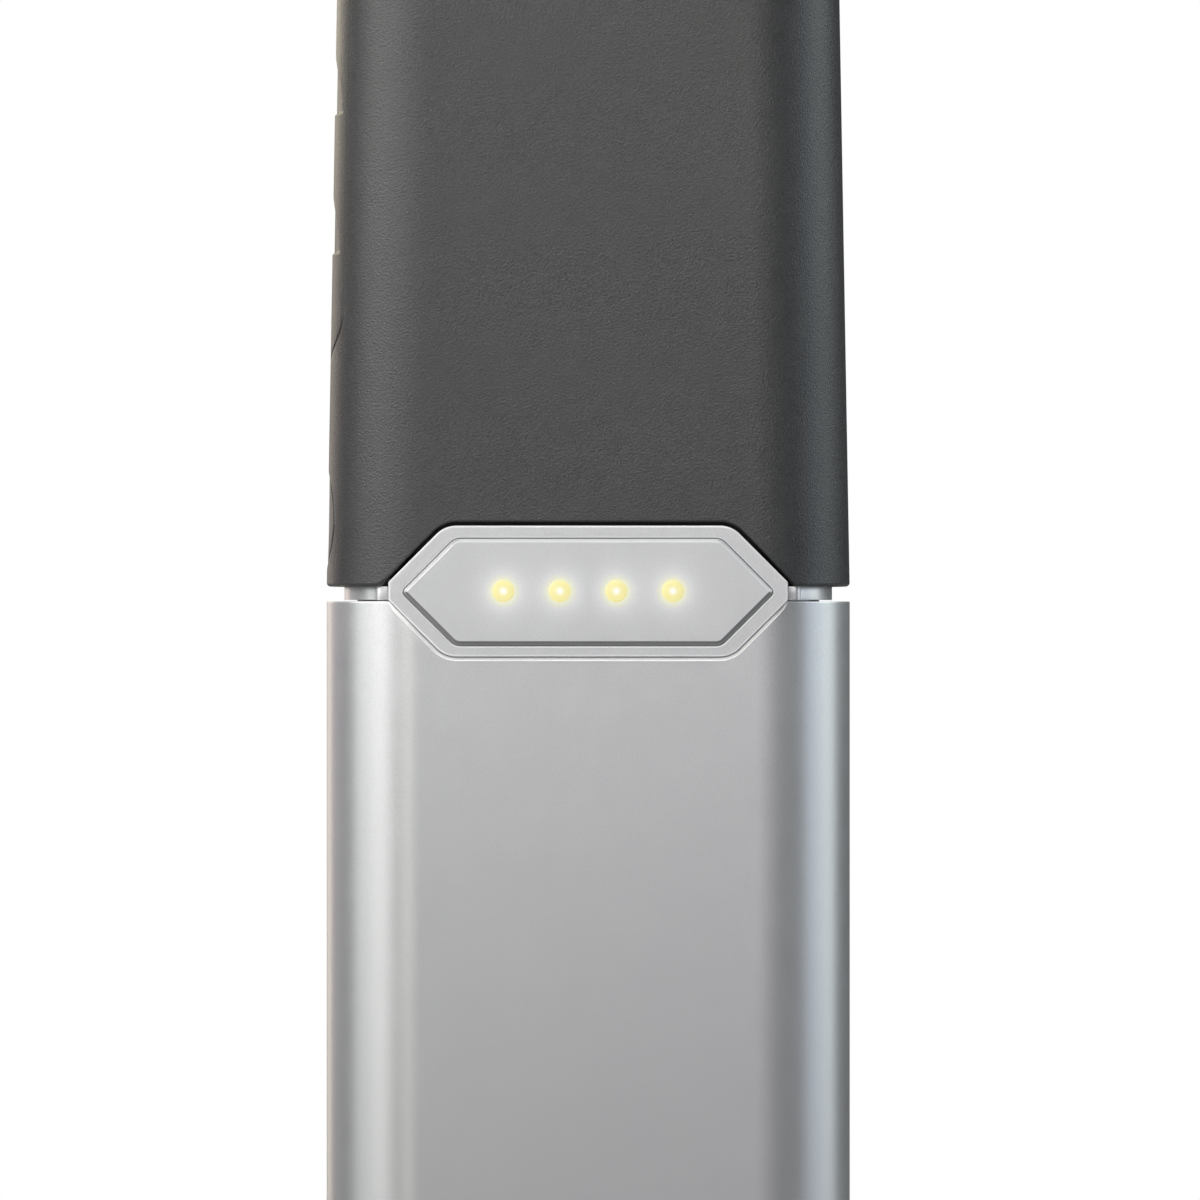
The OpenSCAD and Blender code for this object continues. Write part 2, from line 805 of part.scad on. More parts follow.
module planet_carrier() {
  color("#c4c6c8") difference() {
    union() {
      rod(6.6, carrier_z0, carrier_z0 + carrier_t);
      rod(4, carrier_z0, rear_bearing_z);
    }
    rod(spindle_d / 2, carrier_z0 - 1, rear_bearing_z + 1);
    at_planets() rod(0.8, carrier_z0 - 1, carrier_z0 + carrier_t + 1);
  }
}

// ---------- Bearings, spindle and nose ----------

module bearing_housing() {
  color("#9fa1a4") difference() {
    union() {
      rod(case_r, case_z1, case_z1 + 1.6);
      at_ears() rod(ear_r, case_z1, case_z1 + 1.6);
      rod(housing_r, case_z1, grip_z1 - 2.6);
      rod(nose_thread_r, grip_z1 - 3, grip_z1 + 3);
    }
    rod(bearing_r, case_z1 - 1, shoulder_z);
    rod(5.8, shoulder_z - eps, grip_z1 + 4);
    at_ears() rod(0.82, case_z1 - 1, case_z1 + 3);
  }
}

module retaining_ring() {
  color("#8c8e91") difference() {
    ring(bearing_r, 5.4, rear_bearing_z - 0.9, rear_bearing_z);
    box([-0.8, 0, rear_bearing_z - 1], [1.6, cut, 2]);
  }
}

module at_bearings() {
  for (z = [rear_bearing_z, front_bearing_z]) translate([0, 0, z]) children();
}

ball_r = 0.95;
ball_orbit_r = 4.75;

module ball_track() {
  translate([0, 0, bearing_w / 2]) rotate_extrude()
    translate([ball_orbit_r, 0]) circle(ball_r + 0.05);
}

module bearing_outer_races() {
  color("#c9cacc") at_bearings() difference() {
    ring(bearing_r, 5.35, 0, bearing_w);
    ball_track();
  }
}

module bearing_inner_races() {
  color("#c9cacc") at_bearings() difference() {
    ring(4.15, spindle_d / 2, 0, bearing_w);
    ball_track();
  }
}

module bearing_balls() {
  ball_count = 7;
  color("#e2e3e5") at_bearings() for (k = [0:ball_count - 1])
    rotate(360 / ball_count * k) translate([ball_orbit_r, 0, bearing_w / 2]) sphere(ball_r);
}

module bearing_spacer() {
  color("#9fa1a4") ring(bearing_r, 5.7, rear_bearing_z + bearing_w, front_bearing_z);
}

module spindle() {
  color("#b4b6b9") difference() {
    union() {
      rod(spindle_d / 2, carrier_z0 + 0.2, head_z0 + eps);
      rod(3.9, shoulder_z, head_z0 + eps);
      rod(head_r, head_z0, head_z1);
    }
    rod(eraser_d / 2 + 0.15, eraser_z0 - 0.1, head_z1 + 1);
    rod(collet_r + fit, head_z0 + 4, head_z1 + 1);
  }
}

module collet() {
  flare_z = head_z1 + 0.3;
  color("#d9b45b") difference() {
    union() {
      rod(collet_r, head_z0 + 4.1, head_z1 + 0.4);
      translate([0, 0, head_z1 + 0.1]) cylinder(r = 5, h = 0.3);
      translate([0, 0, flare_z]) cylinder(r1 = 5, r2 = 4.1, h = 6);
    }
    rod(eraser_d / 2 + 0.02, 0, nut_z1 + 5);
    for (a = [45, 135]) rotate(a) box([-cut, -0.35, head_z0 + 7], [2 * cut, 0.7, cut]);
  }
}

module collet_nut() {
  grip_h = 6;
  flute_count = 24;
  color("#c2c4c6") difference() {
    union() {
      rod(7, nut_z0, nut_z0 + grip_h);
      translate([0, 0, nut_z0 + grip_h]) cylinder(r1 = 7, r2 = 5.3, h = nut_z1 - nut_z0 - grip_h);
    }
    rod(head_r + fit, nut_z0 - 1, head_z1 + 0.5);
    translate([0, 0, head_z1 + 0.3]) cylinder(r1 = 5.15, r2 = 4.25, h = 6);
    rod(4.25, nut_z1 - 1, nut_z1 + 1);
    for (k = [0:flute_count - 1]) rotate(360 / flute_count * k)
      translate([7.25, 0, nut_z0 + 0.8]) cylinder(r = 0.5, h = grip_h - 1.6);
  }
}

module nose_ring() {
  color("#c2c4c6") difference() {
    translate([0, 0, grip_z1]) cylinder(r1 = nose_r, r2 = nose_r - 0.9, h = 3.4);
    rod(nose_thread_r + 0.02, grip_z1 - 1, grip_z1 + 3.05);
    rod(5.8, grip_z1, grip_z1 + 5);
  }
}

module eraser() {
  r = eraser_d / 2;
  dome_r = 5;
  dome_h = dome_r - sqrt(dome_r * dome_r - r * r);
  color("#f4f4f0") union() {
    rod(r, eraser_z0, eraser_z0 + eraser_len - dome_h);
    intersection() {
      translate([0, 0, eraser_z0 + eraser_len - dome_r]) sphere(dome_r);
      rod(r, eraser_z0 + eraser_len - dome_h - 0.1, eraser_z0 + eraser_len + 1);
    }
  }
}

// ---------- Motor wires ----------

// A tube of n sides swept along points that run mainly up or down
module swept_tube(points, r, n = 8) {
  count = len(points);
  function tangent(i) = unit(points[min(i + 1, count - 1)] - points[max(i - 1, 0)]);
  rings = [for (i = [0:count - 1])
    let (t = tangent(i), u = unit(cross(t, [1, 0, 0])), v = cross(t, u))
    for (k = [0:n - 1]) points[i] + r * (cos(360 * k / n) * u + sin(360 * k / n) * v)];
  faces = concat(
    [[for (k = [0:n - 1]) k]],
    [for (i = [0:count - 2], k = [0:n - 1])
      [i * n + (k + 1) % n, i * n + k, (i + 1) * n + k, (i + 1) * n + (k + 1) % n]],
    [[for (k = [n - 1:-1:0]) (count - 1) * n + k]]);
  polyhedron(rings, faces);
}

// A point of the smooth curve through a, b, c and d, between b and c
function curve_point(a, b, c, d, t) =
  0.5 * ((2 * b) + (c - a) * t + (2 * a - 5 * b + 4 * c - d) * t * t
    + (3 * b - a - 3 * c + d) * t * t * t);
function smooth(p, steps = 4) =
  let (last = len(p) - 1)
  concat([for (i = [0:last - 1], s = [0:steps - 1])
    curve_point(p[max(i - 1, 0)], p[i], p[i + 1], p[min(i + 2, last)], s / steps)], [p[last]]);

module motor_wires() {
  wire_r = 0.45;
  route = [
    [0, 0.65, motor_z0 - 2], [0, 0.7, motor_z0 - 3.5], [0, -0.6, motor_z0 - 5.5],
    [0, -2.8, motor_z0 - 6.8], [0, -4.8, motor_z0 - 6.9], [0, board_y + board_t, motor_z0 - 6.9]];
  for (x = [-1, 1]) color(x < 0 ? "#a8231f" : "#1d1d1f")
    swept_tube(smooth([for (p = route) p + [x * 6.5, 0, 0]]), wire_r);
}

// ---------- Output ----------

foot_pad();
base_cap();
base_screws();
battery_housing();
battery_cradle();
battery_cell();
battery_terminal();
battery_tabs();
charge_board();
usb_shell();
usb_tongue();
port_cover();
port_hinge_pin();
main_board();
board_chips();
indicator_leds();
light_pipes();
indicator_bezel();
indicator_panel();
mid_frame();
switch_board();
tact_switch();
tact_plunger();
power_button();
side_grip();
grip_shell();
motor_can();
motor_magnets();
motor_front_bush();
motor_rear_bush();
motor_end_bell();
motor_terminals();
motor_shaft();
rotor_core();
rotor_windings();
commutator();
sun_gear();
motor_plate();
motor_screws();
gear_case();
gearbox_screws();
planet_gear_1();
planet_gear_2();
planet_gear_3();
planet_pins();
planet_carrier();
bearing_housing();
retaining_ring();
bearing_outer_races();
bearing_inner_races();
bearing_balls();
bearing_spacer();
spindle();
collet();
collet_nut();
nose_ring();
eraser();
motor_wires();
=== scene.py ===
import json
import math

import bmesh
import bpy
import numpy as np
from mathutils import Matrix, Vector


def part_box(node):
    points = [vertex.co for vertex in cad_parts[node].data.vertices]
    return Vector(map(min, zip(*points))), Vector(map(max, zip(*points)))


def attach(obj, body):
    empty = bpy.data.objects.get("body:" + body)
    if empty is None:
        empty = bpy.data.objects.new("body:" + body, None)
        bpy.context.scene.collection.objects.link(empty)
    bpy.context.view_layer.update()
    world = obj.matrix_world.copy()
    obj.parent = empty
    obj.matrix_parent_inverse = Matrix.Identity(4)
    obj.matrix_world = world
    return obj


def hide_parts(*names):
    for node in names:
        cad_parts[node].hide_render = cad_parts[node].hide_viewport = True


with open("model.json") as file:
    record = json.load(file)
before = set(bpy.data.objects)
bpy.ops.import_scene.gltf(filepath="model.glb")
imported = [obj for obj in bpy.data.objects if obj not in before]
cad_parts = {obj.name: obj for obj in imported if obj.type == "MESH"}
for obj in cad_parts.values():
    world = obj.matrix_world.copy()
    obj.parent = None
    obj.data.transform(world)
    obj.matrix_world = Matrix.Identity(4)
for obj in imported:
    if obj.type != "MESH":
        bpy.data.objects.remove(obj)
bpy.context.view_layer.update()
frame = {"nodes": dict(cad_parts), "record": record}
scene = bpy.context.scene

MM = 0.001


# ---------- Sizes, in millimetres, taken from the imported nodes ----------

def node_box(node):
    """Lowest and highest corner of a CAD node, in millimetres."""
    low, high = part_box(node)
    return np.array(low) / MM, np.array(high) / MM


grip_low, grip_high = node_box("grip_shell")
house_low, house_high = node_box("battery_housing")
bezel_low, bezel_high = node_box("indicator_bezel")
panel_low, panel_high = node_box("indicator_panel")
pipe_low, pipe_high = node_box("light_pipes")
pad_low, pad_high = node_box("side_grip")
button_low, button_high = node_box("power_button")
cover_low, cover_high = node_box("port_cover")
pin_low, pin_high = node_box("port_hinge_pin")
usb_low, usb_high = node_box("usb_shell")

BODY_W = house_high[0] - house_low[0]
BODY_D = house_high[1] - house_low[1]
CORNER_R = 5.0
GRIP_Z0, GRIP_Z1 = grip_low[2], grip_high[2]
HOUSE_Z0, HOUSE_Z1 = house_low[2], house_high[2]
JOINT_Z = (GRIP_Z0 + HOUSE_Z1) / 2
PLATE_Z = (bezel_low[2] + bezel_high[2]) / 2
NOSE_R = 8.4
NOSE_START = GRIP_Z0 + 33.6
TAPER_X, TAPER_Y = 0.0172, 0.0103
LIGHT_PITCH = 3.0
BUTTON_H = 5.2
BUTTON_Z = (button_low[2] + button_high[2]) / 2
# The pad's round ends: their height, and the heights of their centres.
PAD_END = 3.6
PAD_LOW, PAD_HIGH = pad_low[2] + PAD_END, pad_high[2] - PAD_END


# ---------- The body's section, walked by arc length ----------

def grip_section(z):
    """Half width, half depth and corner radius of the grip at height z."""
    length = GRIP_Z1 - GRIP_Z0
    share = np.clip((z - NOSE_START) / (GRIP_Z1 - NOSE_START), 0, 1.2)
    end_x = BODY_W / 2 - TAPER_X * length
    end_y = BODY_D / 2 - TAPER_Y * length
    half_x = BODY_W / 2 - TAPER_X * (z - GRIP_Z0) - (end_x - NOSE_R) * share ** 2.2
    half_y = BODY_D / 2 - TAPER_Y * (z - GRIP_Z0) - (end_y - NOSE_R) * share ** 2.2
    corner = np.minimum(CORNER_R + (NOSE_R - CORNER_R) * share ** 1.5, half_y - 1e-4)
    return half_x, half_y, corner


def housing_section(z):
    """The same for the housing, whose section is the same all the way."""
    one = np.ones_like(z)
    return BODY_W / 2 * one, BODY_D / 2 * one, CORNER_R * one


class Wall:
    """The outer surface of a tapering tube. s runs 0 to 4 round it, a quarter turn for
    each unit, from the middle of the front towards +X, and z is the height."""

    def __init__(self, section):
        self.section = section

    def quarter(self, z):
        half_x, half_y, corner = self.section(z)
        a, b = half_x - corner, half_y - corner
        return a, corner * math.pi / 2, b, half_x, half_y, corner

    def point(self, s, z):
        s, z = np.broadcast_arrays(np.asarray(s, float) % 4, np.asarray(z, float))
        a, c, b, half_x, half_y, corner = self.quarter(z)
        turn = np.floor(s).astype(int) % 4
        part = s - np.floor(s)
        back = turn % 2 == 1
        d = np.where(back, 1 - part, part) * (a + c + b)
        angle = np.clip((d - a) / corner, 0, math.pi / 2)
        x = np.where(d < a, d, a + corner * np.sin(angle))
        y = np.where(d < a, half_y, b + corner * np.cos(angle))
        y = np.where(d > a + c, a + c + b - d, y)
        x = np.where(turn >= 2, -x, x)
        y = np.where((turn == 0) | (turn == 3), -y, y)
        return np.stack([x, y, z], -1)

    def normal(self, s, z):
        e = 1e-4
        across = self.point(np.asarray(s) + e, z) - self.point(np.asarray(s) - e, z)
        up = self.point(s, np.asarray(z) + e) - self.point(s, np.asarray(z) - e)
        n = np.cross(across, up)
        return n / np.linalg.norm(n, axis=-1, keepdims=True)

    def turned(self, away, z, on_side=False):
        """How much s changes from the middle of a face to a point that far off to the side."""
        a, c, b, _, _, corner = self.quarter(np.asarray(z, float))
        flat = b if on_side else a
        away = np.abs(away)
        angle = np.arcsin(np.clip((away - flat) / corner, 0, 1))
        return np.where(away < flat, away, flat + corner * angle) / (a + c + b)

    def s_front(self, x, z):
        """s of the front point at x, from -2 to 2."""
        return np.sign(x) * self.turned(x, z)

    def s_side(self, y, z, centre):
        """s of the point at y on a side, centre 3 for -X, or of x at the back, centre 2."""
        return centre - np.sign(y) * self.turned(y, z, centre == 3)


grip_wall = Wall(grip_section)
house_wall = Wall(housing_section)


def smooth_step(v):
    t = np.clip(v, 0, 1)
    return t * t * (3 - 2 * t)


# ---------- Flat outlines ----------

def rounded_path(corners, radii, closed=True, arc=10, step=0.5, per=0):
    """Points along a polyline whose corners are rounded, about step apart on the straights,
    or per of them to each straight."""
    corners = [np.array(c, float) for c in corners]
    count = len(corners)
    out = []
    for i, b in enumerate(corners):
        if not closed and i in (0, count - 1):
            out.append(b[None])
            continue
        u = corners[i - 1] - b
        v = corners[(i + 1) % count] - b
        u, v = u / np.linalg.norm(u), v / np.linalg.norm(v)
        half = math.acos(np.clip(u @ v, -1, 1)) / 2
        w = (u + v) / np.linalg.norm(u + v)
        centre = b + w * radii[i] / math.sin(half)
        p = b + u * radii[i] / math.tan(half) - centre
        q = b + v * radii[i] / math.tan(half) - centre
        turn = math.acos(np.clip(p @ q / radii[i] ** 2, -1, 1))
        t = np.linspace(0, 1, arc + 1)[:, None]
        out.append(centre + (p * np.sin(turn * (1 - t)) + q * np.sin(turn * t)) / math.sin(turn))
    points = []
    for i, run in enumerate(out):
        points.extend(run)
        if i + 1 < len(out) or closed:
            start, end = run[-1], out[(i + 1) % len(out)][0]
            n = per or max(1, int(np.linalg.norm(end - start) / step))
            points.extend(start + (end - start) * k / n for k in range(1, n))
    return np.array(points)


def outward(path):
    """Unit normals of a closed path that runs anticlockwise, lengthened at its corners."""
    ahead = np.roll(path, -1, 0) - path
    ahead /= np.linalg.norm(ahead, axis=1, keepdims=True)
    side = np.stack([ahead[:, 1], -ahead[:, 0]], 1)
    before = np.roll(side, 1, 0)
    n = side + before
    n /= np.linalg.norm(n, axis=1, keepdims=True)
    return n / np.maximum(0.5, (n * side).sum(1, keepdims=True))


def hexagon(width, height, tip, tip_r, corner_r, inset=0.0, arc=14, per=16):
    """A long hexagon with 45 degree ends, as a closed anticlockwise path about its centre.
    Its ends are blunt where tip, half their height, isn't 0."""
    w, h = width / 2 - inset, height / 2 - inset
    point = width / 2 + tip - inset * math.sqrt(2)
    tip_r, corner_r = max(tip_r - inset, 0.02), max(corner_r - inset, 0.02)
    if tip:
        t = point - w
        corners = [(w, -t), (w, t), (point - h, h), (h - point, h),
                   (-w, t), (-w, -t), (h - point, -h), (point - h, -h)]
        radii = [tip_r, tip_r, corner_r, corner_r] * 2
    else:
        corners = [(point, 0), (point - h, h), (h - point, h),
                   (-point, 0), (h - point, -h), (point - h, -h)]
        radii = [tip_r, corner_r, corner_r] * 2
    return rounded_path(corners, radii, arc=arc, per=per)


def obround(length, height, arc=40):
    """A slot with round ends about the origin."""
    r = height / 2
    k = length / 2 - r
    t = np.linspace(-math.pi / 2, math.pi / 2, arc)
    right = np.stack([k + r * np.cos(t), r * np.sin(t)], 1)
    steps = np.linspace(k, -k, 24)[1:-1]
    top = np.stack([steps, np.full_like(steps, r)], 1)
    return np.concatenate([right, top, -right, -top])


# ---------- Meshes ----------

def add_object(name, data):
    obj = bpy.data.objects.new(name, data)
    scene.collection.objects.link(obj)
    return obj


def even_normals(piece, keep_sharp):
    even = piece.modifiers.new("even_normals", "WEIGHTED_NORMAL")
    even.weight = 90
    even.keep_sharp = keep_sharp


def mark_sharp(bm, degrees):
    """Shades smooth, but for the edges with a larger angle."""
    for f in bm.faces:
        f.smooth = True
    for e in bm.edges:
        e.smooth = not (len(e.link_faces) == 2 and e.calc_face_angle(0) > math.radians(degrees))


def make(name, points, faces, body, node, slot_name, normals=None, sharp=35, edge=None):
    """Makes a piece from points in millimetres, and has it ride on a body and replace a node.
    edge says how much painted highlight a point gets, up to 1, or how much painted shade, down to
    -1."""
    mesh = bpy.data.meshes.new(name)
    mesh.from_pydata((np.asarray(points) * MM).tolist(), [], [list(map(int, f)) for f in faces])
    bm = bmesh.new()
    bm.from_mesh(mesh)
    bmesh.ops.recalc_face_normals(bm, faces=bm.faces)
    if normals is None:
        bmesh.ops.remove_doubles(bm, verts=bm.verts, dist=1e-7)
        bmesh.ops.dissolve_degenerate(bm, edges=bm.edges, dist=1e-8)
    mark_sharp(bm, sharp if normals is None else 180)
    bm.to_mesh(mesh)
    bm.free()
    # The edge attribute: painted highlight where positive, painted shade where negative.
    if edge is not None:
        painted_light = mesh.attributes.new("edge", "FLOAT", "POINT")
        painted_light.data.foreach_set("value", np.asarray(edge, np.float32))
    if normals is not None:
        mesh.normals_split_custom_set_from_vertices(np.asarray(normals).tolist())
    piece = add_object(name, mesh)
    if normals is None:
        even_normals(piece, True)
    dress(piece, body, node, slot_name)
    return piece


def dress(piece, body, node, slot_name):
    """Has a piece ride on a body and replace a node, with the finish of a slot."""
    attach(piece, body)
    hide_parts(node)
    piece.data.materials.clear()
    piece.data.materials.append(finish_for(slot_name))


def band(a, b):
    """Quads between two closed rings of ids."""
    return list(zip(a, np.roll(a, -1), np.roll(b, -1), b))


def shifted(faces, by):
    """Faces whose points lie further along a longer list."""
    return [tuple(i + by for i in f) for f in faces]


def loft(rings, cap_first=False, cap_last=False, around=False):
    """Joins closed rings of the same number of points with quads; around joins the last to the
    first as well."""
    n = len(rings[0])
    ids = np.arange(len(rings) * n).reshape(-1, n)
    faces = []
    for k in range(len(rings) if around else len(rings) - 1):
        faces += band(ids[k], ids[(k + 1) % len(rings)])
    if cap_first:
        faces.append(ids[0][::-1])
    if cap_last:
        faces.append(ids[-1])
    return np.concatenate(rings), faces


def facing_front(path, y):
    """Stands a flat path up on the front at depth y."""
    return np.stack([path[:, 0], np.full(len(path), y), path[:, 1] + PLATE_Z], 1)


class Patchwork:
    """Collects grid patches in the (s, z) plane and joins the points they share."""

    def __init__(self):
        self.index = {}
        self.points = []
        self.faces = []

    def add(self, points):
        """Index of each (s, z) point, the same for points that coincide."""
        out = []
        for s, z in points:
            key = (round((s % 4) * 1e6) % 4000000, round(z * 1e5))
            if key not in self.index:
                self.index[key] = len(self.points)
                self.points.append((s, z))
            out.append(self.index[key])
        return np.array(out)

    def grid(self, ids, hole=None):
        """Faces of a grid of point ids that closes round the wall, columns by rows."""
        columns, rows = ids.shape
        for i in range(columns):
            k = (i + 1) % columns
            self.faces += [(ids[i, j], ids[k, j], ids[k, j + 1], ids[i, j + 1])
                           for j in range(rows - 1) if not (hole and hole(i, j))]


# Millimetres of wall to one unit of s and of z.
STRETCH = np.array([22.8, 1.0])


def radial(outline, targets, centre, stretch=STRETCH):
    """Points of a closed outline on the rays from centre to each target, in the (s, z) plane."""
    flat = (outline - centre) * stretch
    aim = (targets - centre) * stretch
    angle = np.unwrap(np.arctan2(flat[:, 1], flat[:, 0]))
    if angle[-1] < angle[0]:
        flat, angle = flat[::-1], angle[::-1]
    reach = np.linalg.norm(flat, axis=1)
    order = np.argsort((angle - angle[0]) % (2 * math.pi))
    base = (angle[order] - angle[0]) % (2 * math.pi)
    reach = reach[order]
    want = (np.arctan2(aim[:, 1], aim[:, 0]) - angle[0]) % (2 * math.pi)
    far = np.interp(want, np.append(base, 2 * math.pi), np.append(reach, reach[0]))
    unit = aim / np.linalg.norm(aim, axis=1, keepdims=True)
    return centre + unit * far[:, None] / stretch


def grow(path, by):
    """A closed (s, z) path moved outward by a distance in millimetres."""
    flat = path * STRETCH
    area = np.sum(flat[:, 0] * np.roll(flat[:, 1], -1) - np.roll(flat[:, 0], -1) * flat[:, 1])
    n = outward(flat) * (1 if area > 0 else -1)
    return path + n * np.reshape(by, (-1, 1)) / STRETCH


RIM_STEPS = 5
# A ledge's chamfer: its depth as a share of the rim's radius, and the tilt of its normal.
CHAMFER_DEPTH, CHAMFER_TILT = 0.3, 17
# The step after it: share of the ledge's width, extra depth, tilt of the normal, painted
# highlight.
LEDGE_STEP = ((1.9, 0.002, 5, 0.6), (0.12, 0.002, 5, 0.6), (0.03, 0.012, 25, 0.6),
              (0, 0.05, 70, 0.6))


def rim_profile(r, ledge):
    """Distance in from a wall's edge, depth below its face, tilt of the normal and painted
    highlight, along its rim: a fillet of radius r, or with a ledge a slight chamfer that wide and
    then a step."""
    if ledge is None:
        arc = np.linspace(0, math.pi / 2, RIM_STEPS + 1)
        return [(r * (1 - np.sin(a)), r * (1 - np.cos(a)), a, 0.0) for a in arc[1:]]
    # The chamfer and the step carry a painted highlight.
    chamfer = [(2 * ledge + r * (1 - t), CHAMFER_DEPTH * r * t * t,
                math.radians(CHAMFER_TILT) * t, 1.0) for t in (0.33, 0.67, 1)]
    step = [(share * ledge, CHAMFER_DEPTH * r + deep, math.radians(tilt), painted_light)
            for share, deep, tilt, painted_light in LEDGE_STEP]
    return chamfer + step


def thick_wall(name, wall, work, loops, thickness, body, node, slot_name, extra=None,
               painted_rim_highlight=0):
    """A shell from a patchwork: outside, inside, and a rim at each loop. A loop is (ids, edge,
    radius, ledge): its points lie back from the edge by its rim, radius plus twice the ledge.
    The rim of the first loop gets a painted highlight, as strong as the share given."""
    sz = np.array(work.points)
    outer = wall.point(sz[:, 0], sz[:, 1])
    outer_n = wall.normal(sz[:, 0], sz[:, 1])
    inner = outer - thickness * outer_n
    points, normals, faces = [outer, inner], [outer_n, -outer_n], []
    count = len(outer)
    painted_highlights = [np.zeros(2 * count)]
    faces += [tuple(f) for f in work.faces]
    faces += [tuple(i + count for i in f[::-1]) for f in work.faces]
    total = 2 * count
    for number, (ids, edge, radius, ledge) in enumerate(loops):
        radius = np.broadcast_to(radius, len(ids))[:, None]
        ledge = None if ledge is None else ledge[:, None]
        at, n = wall.point(edge[:, 0], edge[:, 1]), wall.normal(edge[:, 0], edge[:, 1])
        m = outer[ids] - at
        m -= n * (m * n).sum(1, keepdims=True)
        m /= np.linalg.norm(m, axis=1, keepdims=True)
        inner[ids] = at - thickness * n
        before = ids
        for out, deep, tilt, painted_light in rim_profile(radius, ledge):
            points.append(at + out * m - deep * n)
            normals.append(np.cos(tilt) * n - np.sin(tilt) * m)
            painted_highlights.append(np.full(len(ids), painted_rim_highlight * painted_light if number == 0 else 0))
            now = np.arange(total, total + len(ids))
            total += len(ids)
            faces += band(before, now)
            before = now
        faces += band(before, ids + count)
    points, normals = np.concatenate(points), np.concatenate(normals)
    if extra:
        more, more_n, more_faces = extra
        faces += shifted(more_faces, len(points))
        points, normals = np.concatenate([points, more]), np.concatenate([normals, more_n])
        painted_highlights.append(np.zeros(len(more)))
    return make(name, points, faces, body, node, slot_name, normals=normals,
                edge=np.concatenate(painted_highlights))


def annulus(work, ring_ids, ring, hole, centre, rows=9):
    """Fills between a ring of grid points and a hole's outline. Returns the hole's loop."""
    inner = radial(hole, ring, centre)
    t = np.linspace(0, 1, rows + 1) ** 0.8
    ids = [ring_ids]
    for k in t[1:]:
        ids.append(work.add(ring + (inner - ring) * k))
    work.grid(np.array(ids).T)
    return ids[-1]


def bridge(outer, inner, outer_at, inner_at):
    """Triangles between two closed rings round the same centre, walked by angle."""
    def angles(ring):
        flat = ring[:, [0, 2]] - [0, PLATE_Z]
        return np.arctan2(flat[:, 1], flat[:, 0] / 3) % (2 * math.pi)

    first, second = np.argsort(angles(outer)), np.argsort(angles(inner))
    a, b = np.sort(angles(outer)), np.sort(angles(inner))
    faces, i, j = [], 0, 0
    while i < len(a) or j < len(b):
        p, q = outer_at + first[i % len(a)], inner_at + second[j % len(b)]
        next_a = a[(i + 1) % len(a)] + (2 * math.pi if i + 1 >= len(a) else 0)
        next_b = b[(j + 1) % len(b)] + (2 * math.pi if j + 1 >= len(b) else 0)
        if j >= len(b) or (i < len(a) and next_a < next_b):
            faces.append((p, outer_at + first[(i + 1) % len(a)], q))
            i += 1
        else:
            faces.append((p, inner_at + second[(j + 1) % len(b)], q))
            j += 1
    return faces


def refined(node, body, slot_name, width=0.1, segments=3, angle=30):
    """A copy of a CAD node's shape with its edges softened, shown in its place."""
    source = frame["nodes"][node]
    bm = bmesh.new()
    bm.from_mesh(source.data)
    bmesh.ops.remove_doubles(bm, verts=bm.verts, dist=2e-6)
    bmesh.ops.dissolve_limit(bm, angle_limit=math.radians(0.4), verts=bm.verts, edges=bm.edges)
    mark_sharp(bm, angle)
    mesh = bpy.data.meshes.new(node + "_look")
    bm.to_mesh(mesh)
    bm.free()
    piece = add_object(node + "_look", mesh)
    bevel = piece.modifiers.new("soft_edges", "BEVEL")
    bevel.width = width * MM
    bevel.segments = segments
    bevel.limit_method = "ANGLE"
    bevel.angle_limit = math.radians(angle)
    bevel.use_clamp_overlap = True
    bevel.miter_outer = "MITER_ARC"
    even_normals(piece, False)
    dress(piece, body, node, slot_name)
    return piece


# ---------- Materials ----------

def link(tree, a, b):
    tree.links.new(a, b)


def set_inputs(node, values):
    for key, value in values.items():
        node.inputs[key].default_value = value


def new_node(tree, kind, inputs=None, **values):
    node = tree.nodes.new(kind)
    for key, value in values.items():
        setattr(node, key, value)
    set_inputs(node, inputs or {})
    return node


def noise(tree, coords, scale, detail=3.0, rough=0.55, stretch=None):
    """A noise texture on object coordinates; stretch squeezes it along the axes."""
    source = coords
    if stretch:
        mapping = new_node(tree, "ShaderNodeMapping", {"Scale": stretch})
        link(tree, coords, mapping.inputs["Vector"])
        source = mapping.outputs["Vector"]
    texture = new_node(tree, "ShaderNodeTexNoise",
                       {"Scale": scale, "Detail": detail, "Roughness": rough})
    link(tree, source, texture.inputs["Vector"])
    return texture.outputs["Fac"]


def ramp(tree, value, low, high, out_low, out_high):
    node = new_node(tree, "ShaderNodeMapRange", {
        "From Min": low, "From Max": high, "To Min": out_low, "To Max": out_high})
    link(tree, value, node.inputs["Value"])
    return node.outputs["Result"]


def calc(tree, kind, a, b=None, clamp=False):
    node = new_node(tree, "ShaderNodeMath", operation=kind, use_clamp=clamp)
    for k, value in enumerate((a, b)):
        if value is None:
            continue
        if isinstance(value, (int, float)):
            node.inputs[k].default_value = value
        else:
            link(tree, value, node.inputs[k])
    return node.outputs[0]


def weighted(tree, *terms):
    """The sum of (value, weight) pairs."""
    total = None
    for value, weight in terms:
        part = calc(tree, "MULTIPLY", value, weight)
        total = part if total is None else calc(tree, "ADD", total, part)
    return total


def shade(colour, factor):
    """A colour made lighter or darker."""
    return tuple(min(1.0, c * factor) for c in colour[:3]) + (1.0,)


def mix_colour(tree, factor, a, b):
    node = new_node(tree, "ShaderNodeMix", data_type="RGBA")
    link(tree, factor, node.inputs["Factor"])
    for value, socket in ((a, node.inputs[6]), (b, node.inputs[7])):
        if isinstance(value, tuple):
            socket.default_value = value
        else:
            link(tree, value, socket)
    return node.outputs[2]


def bump(tree, height, distance):
    node = new_node(tree, "ShaderNodeBump", {"Strength": 1.0, "Distance": distance})
    link(tree, height, node.inputs["Height"])
    return node.outputs["Normal"]


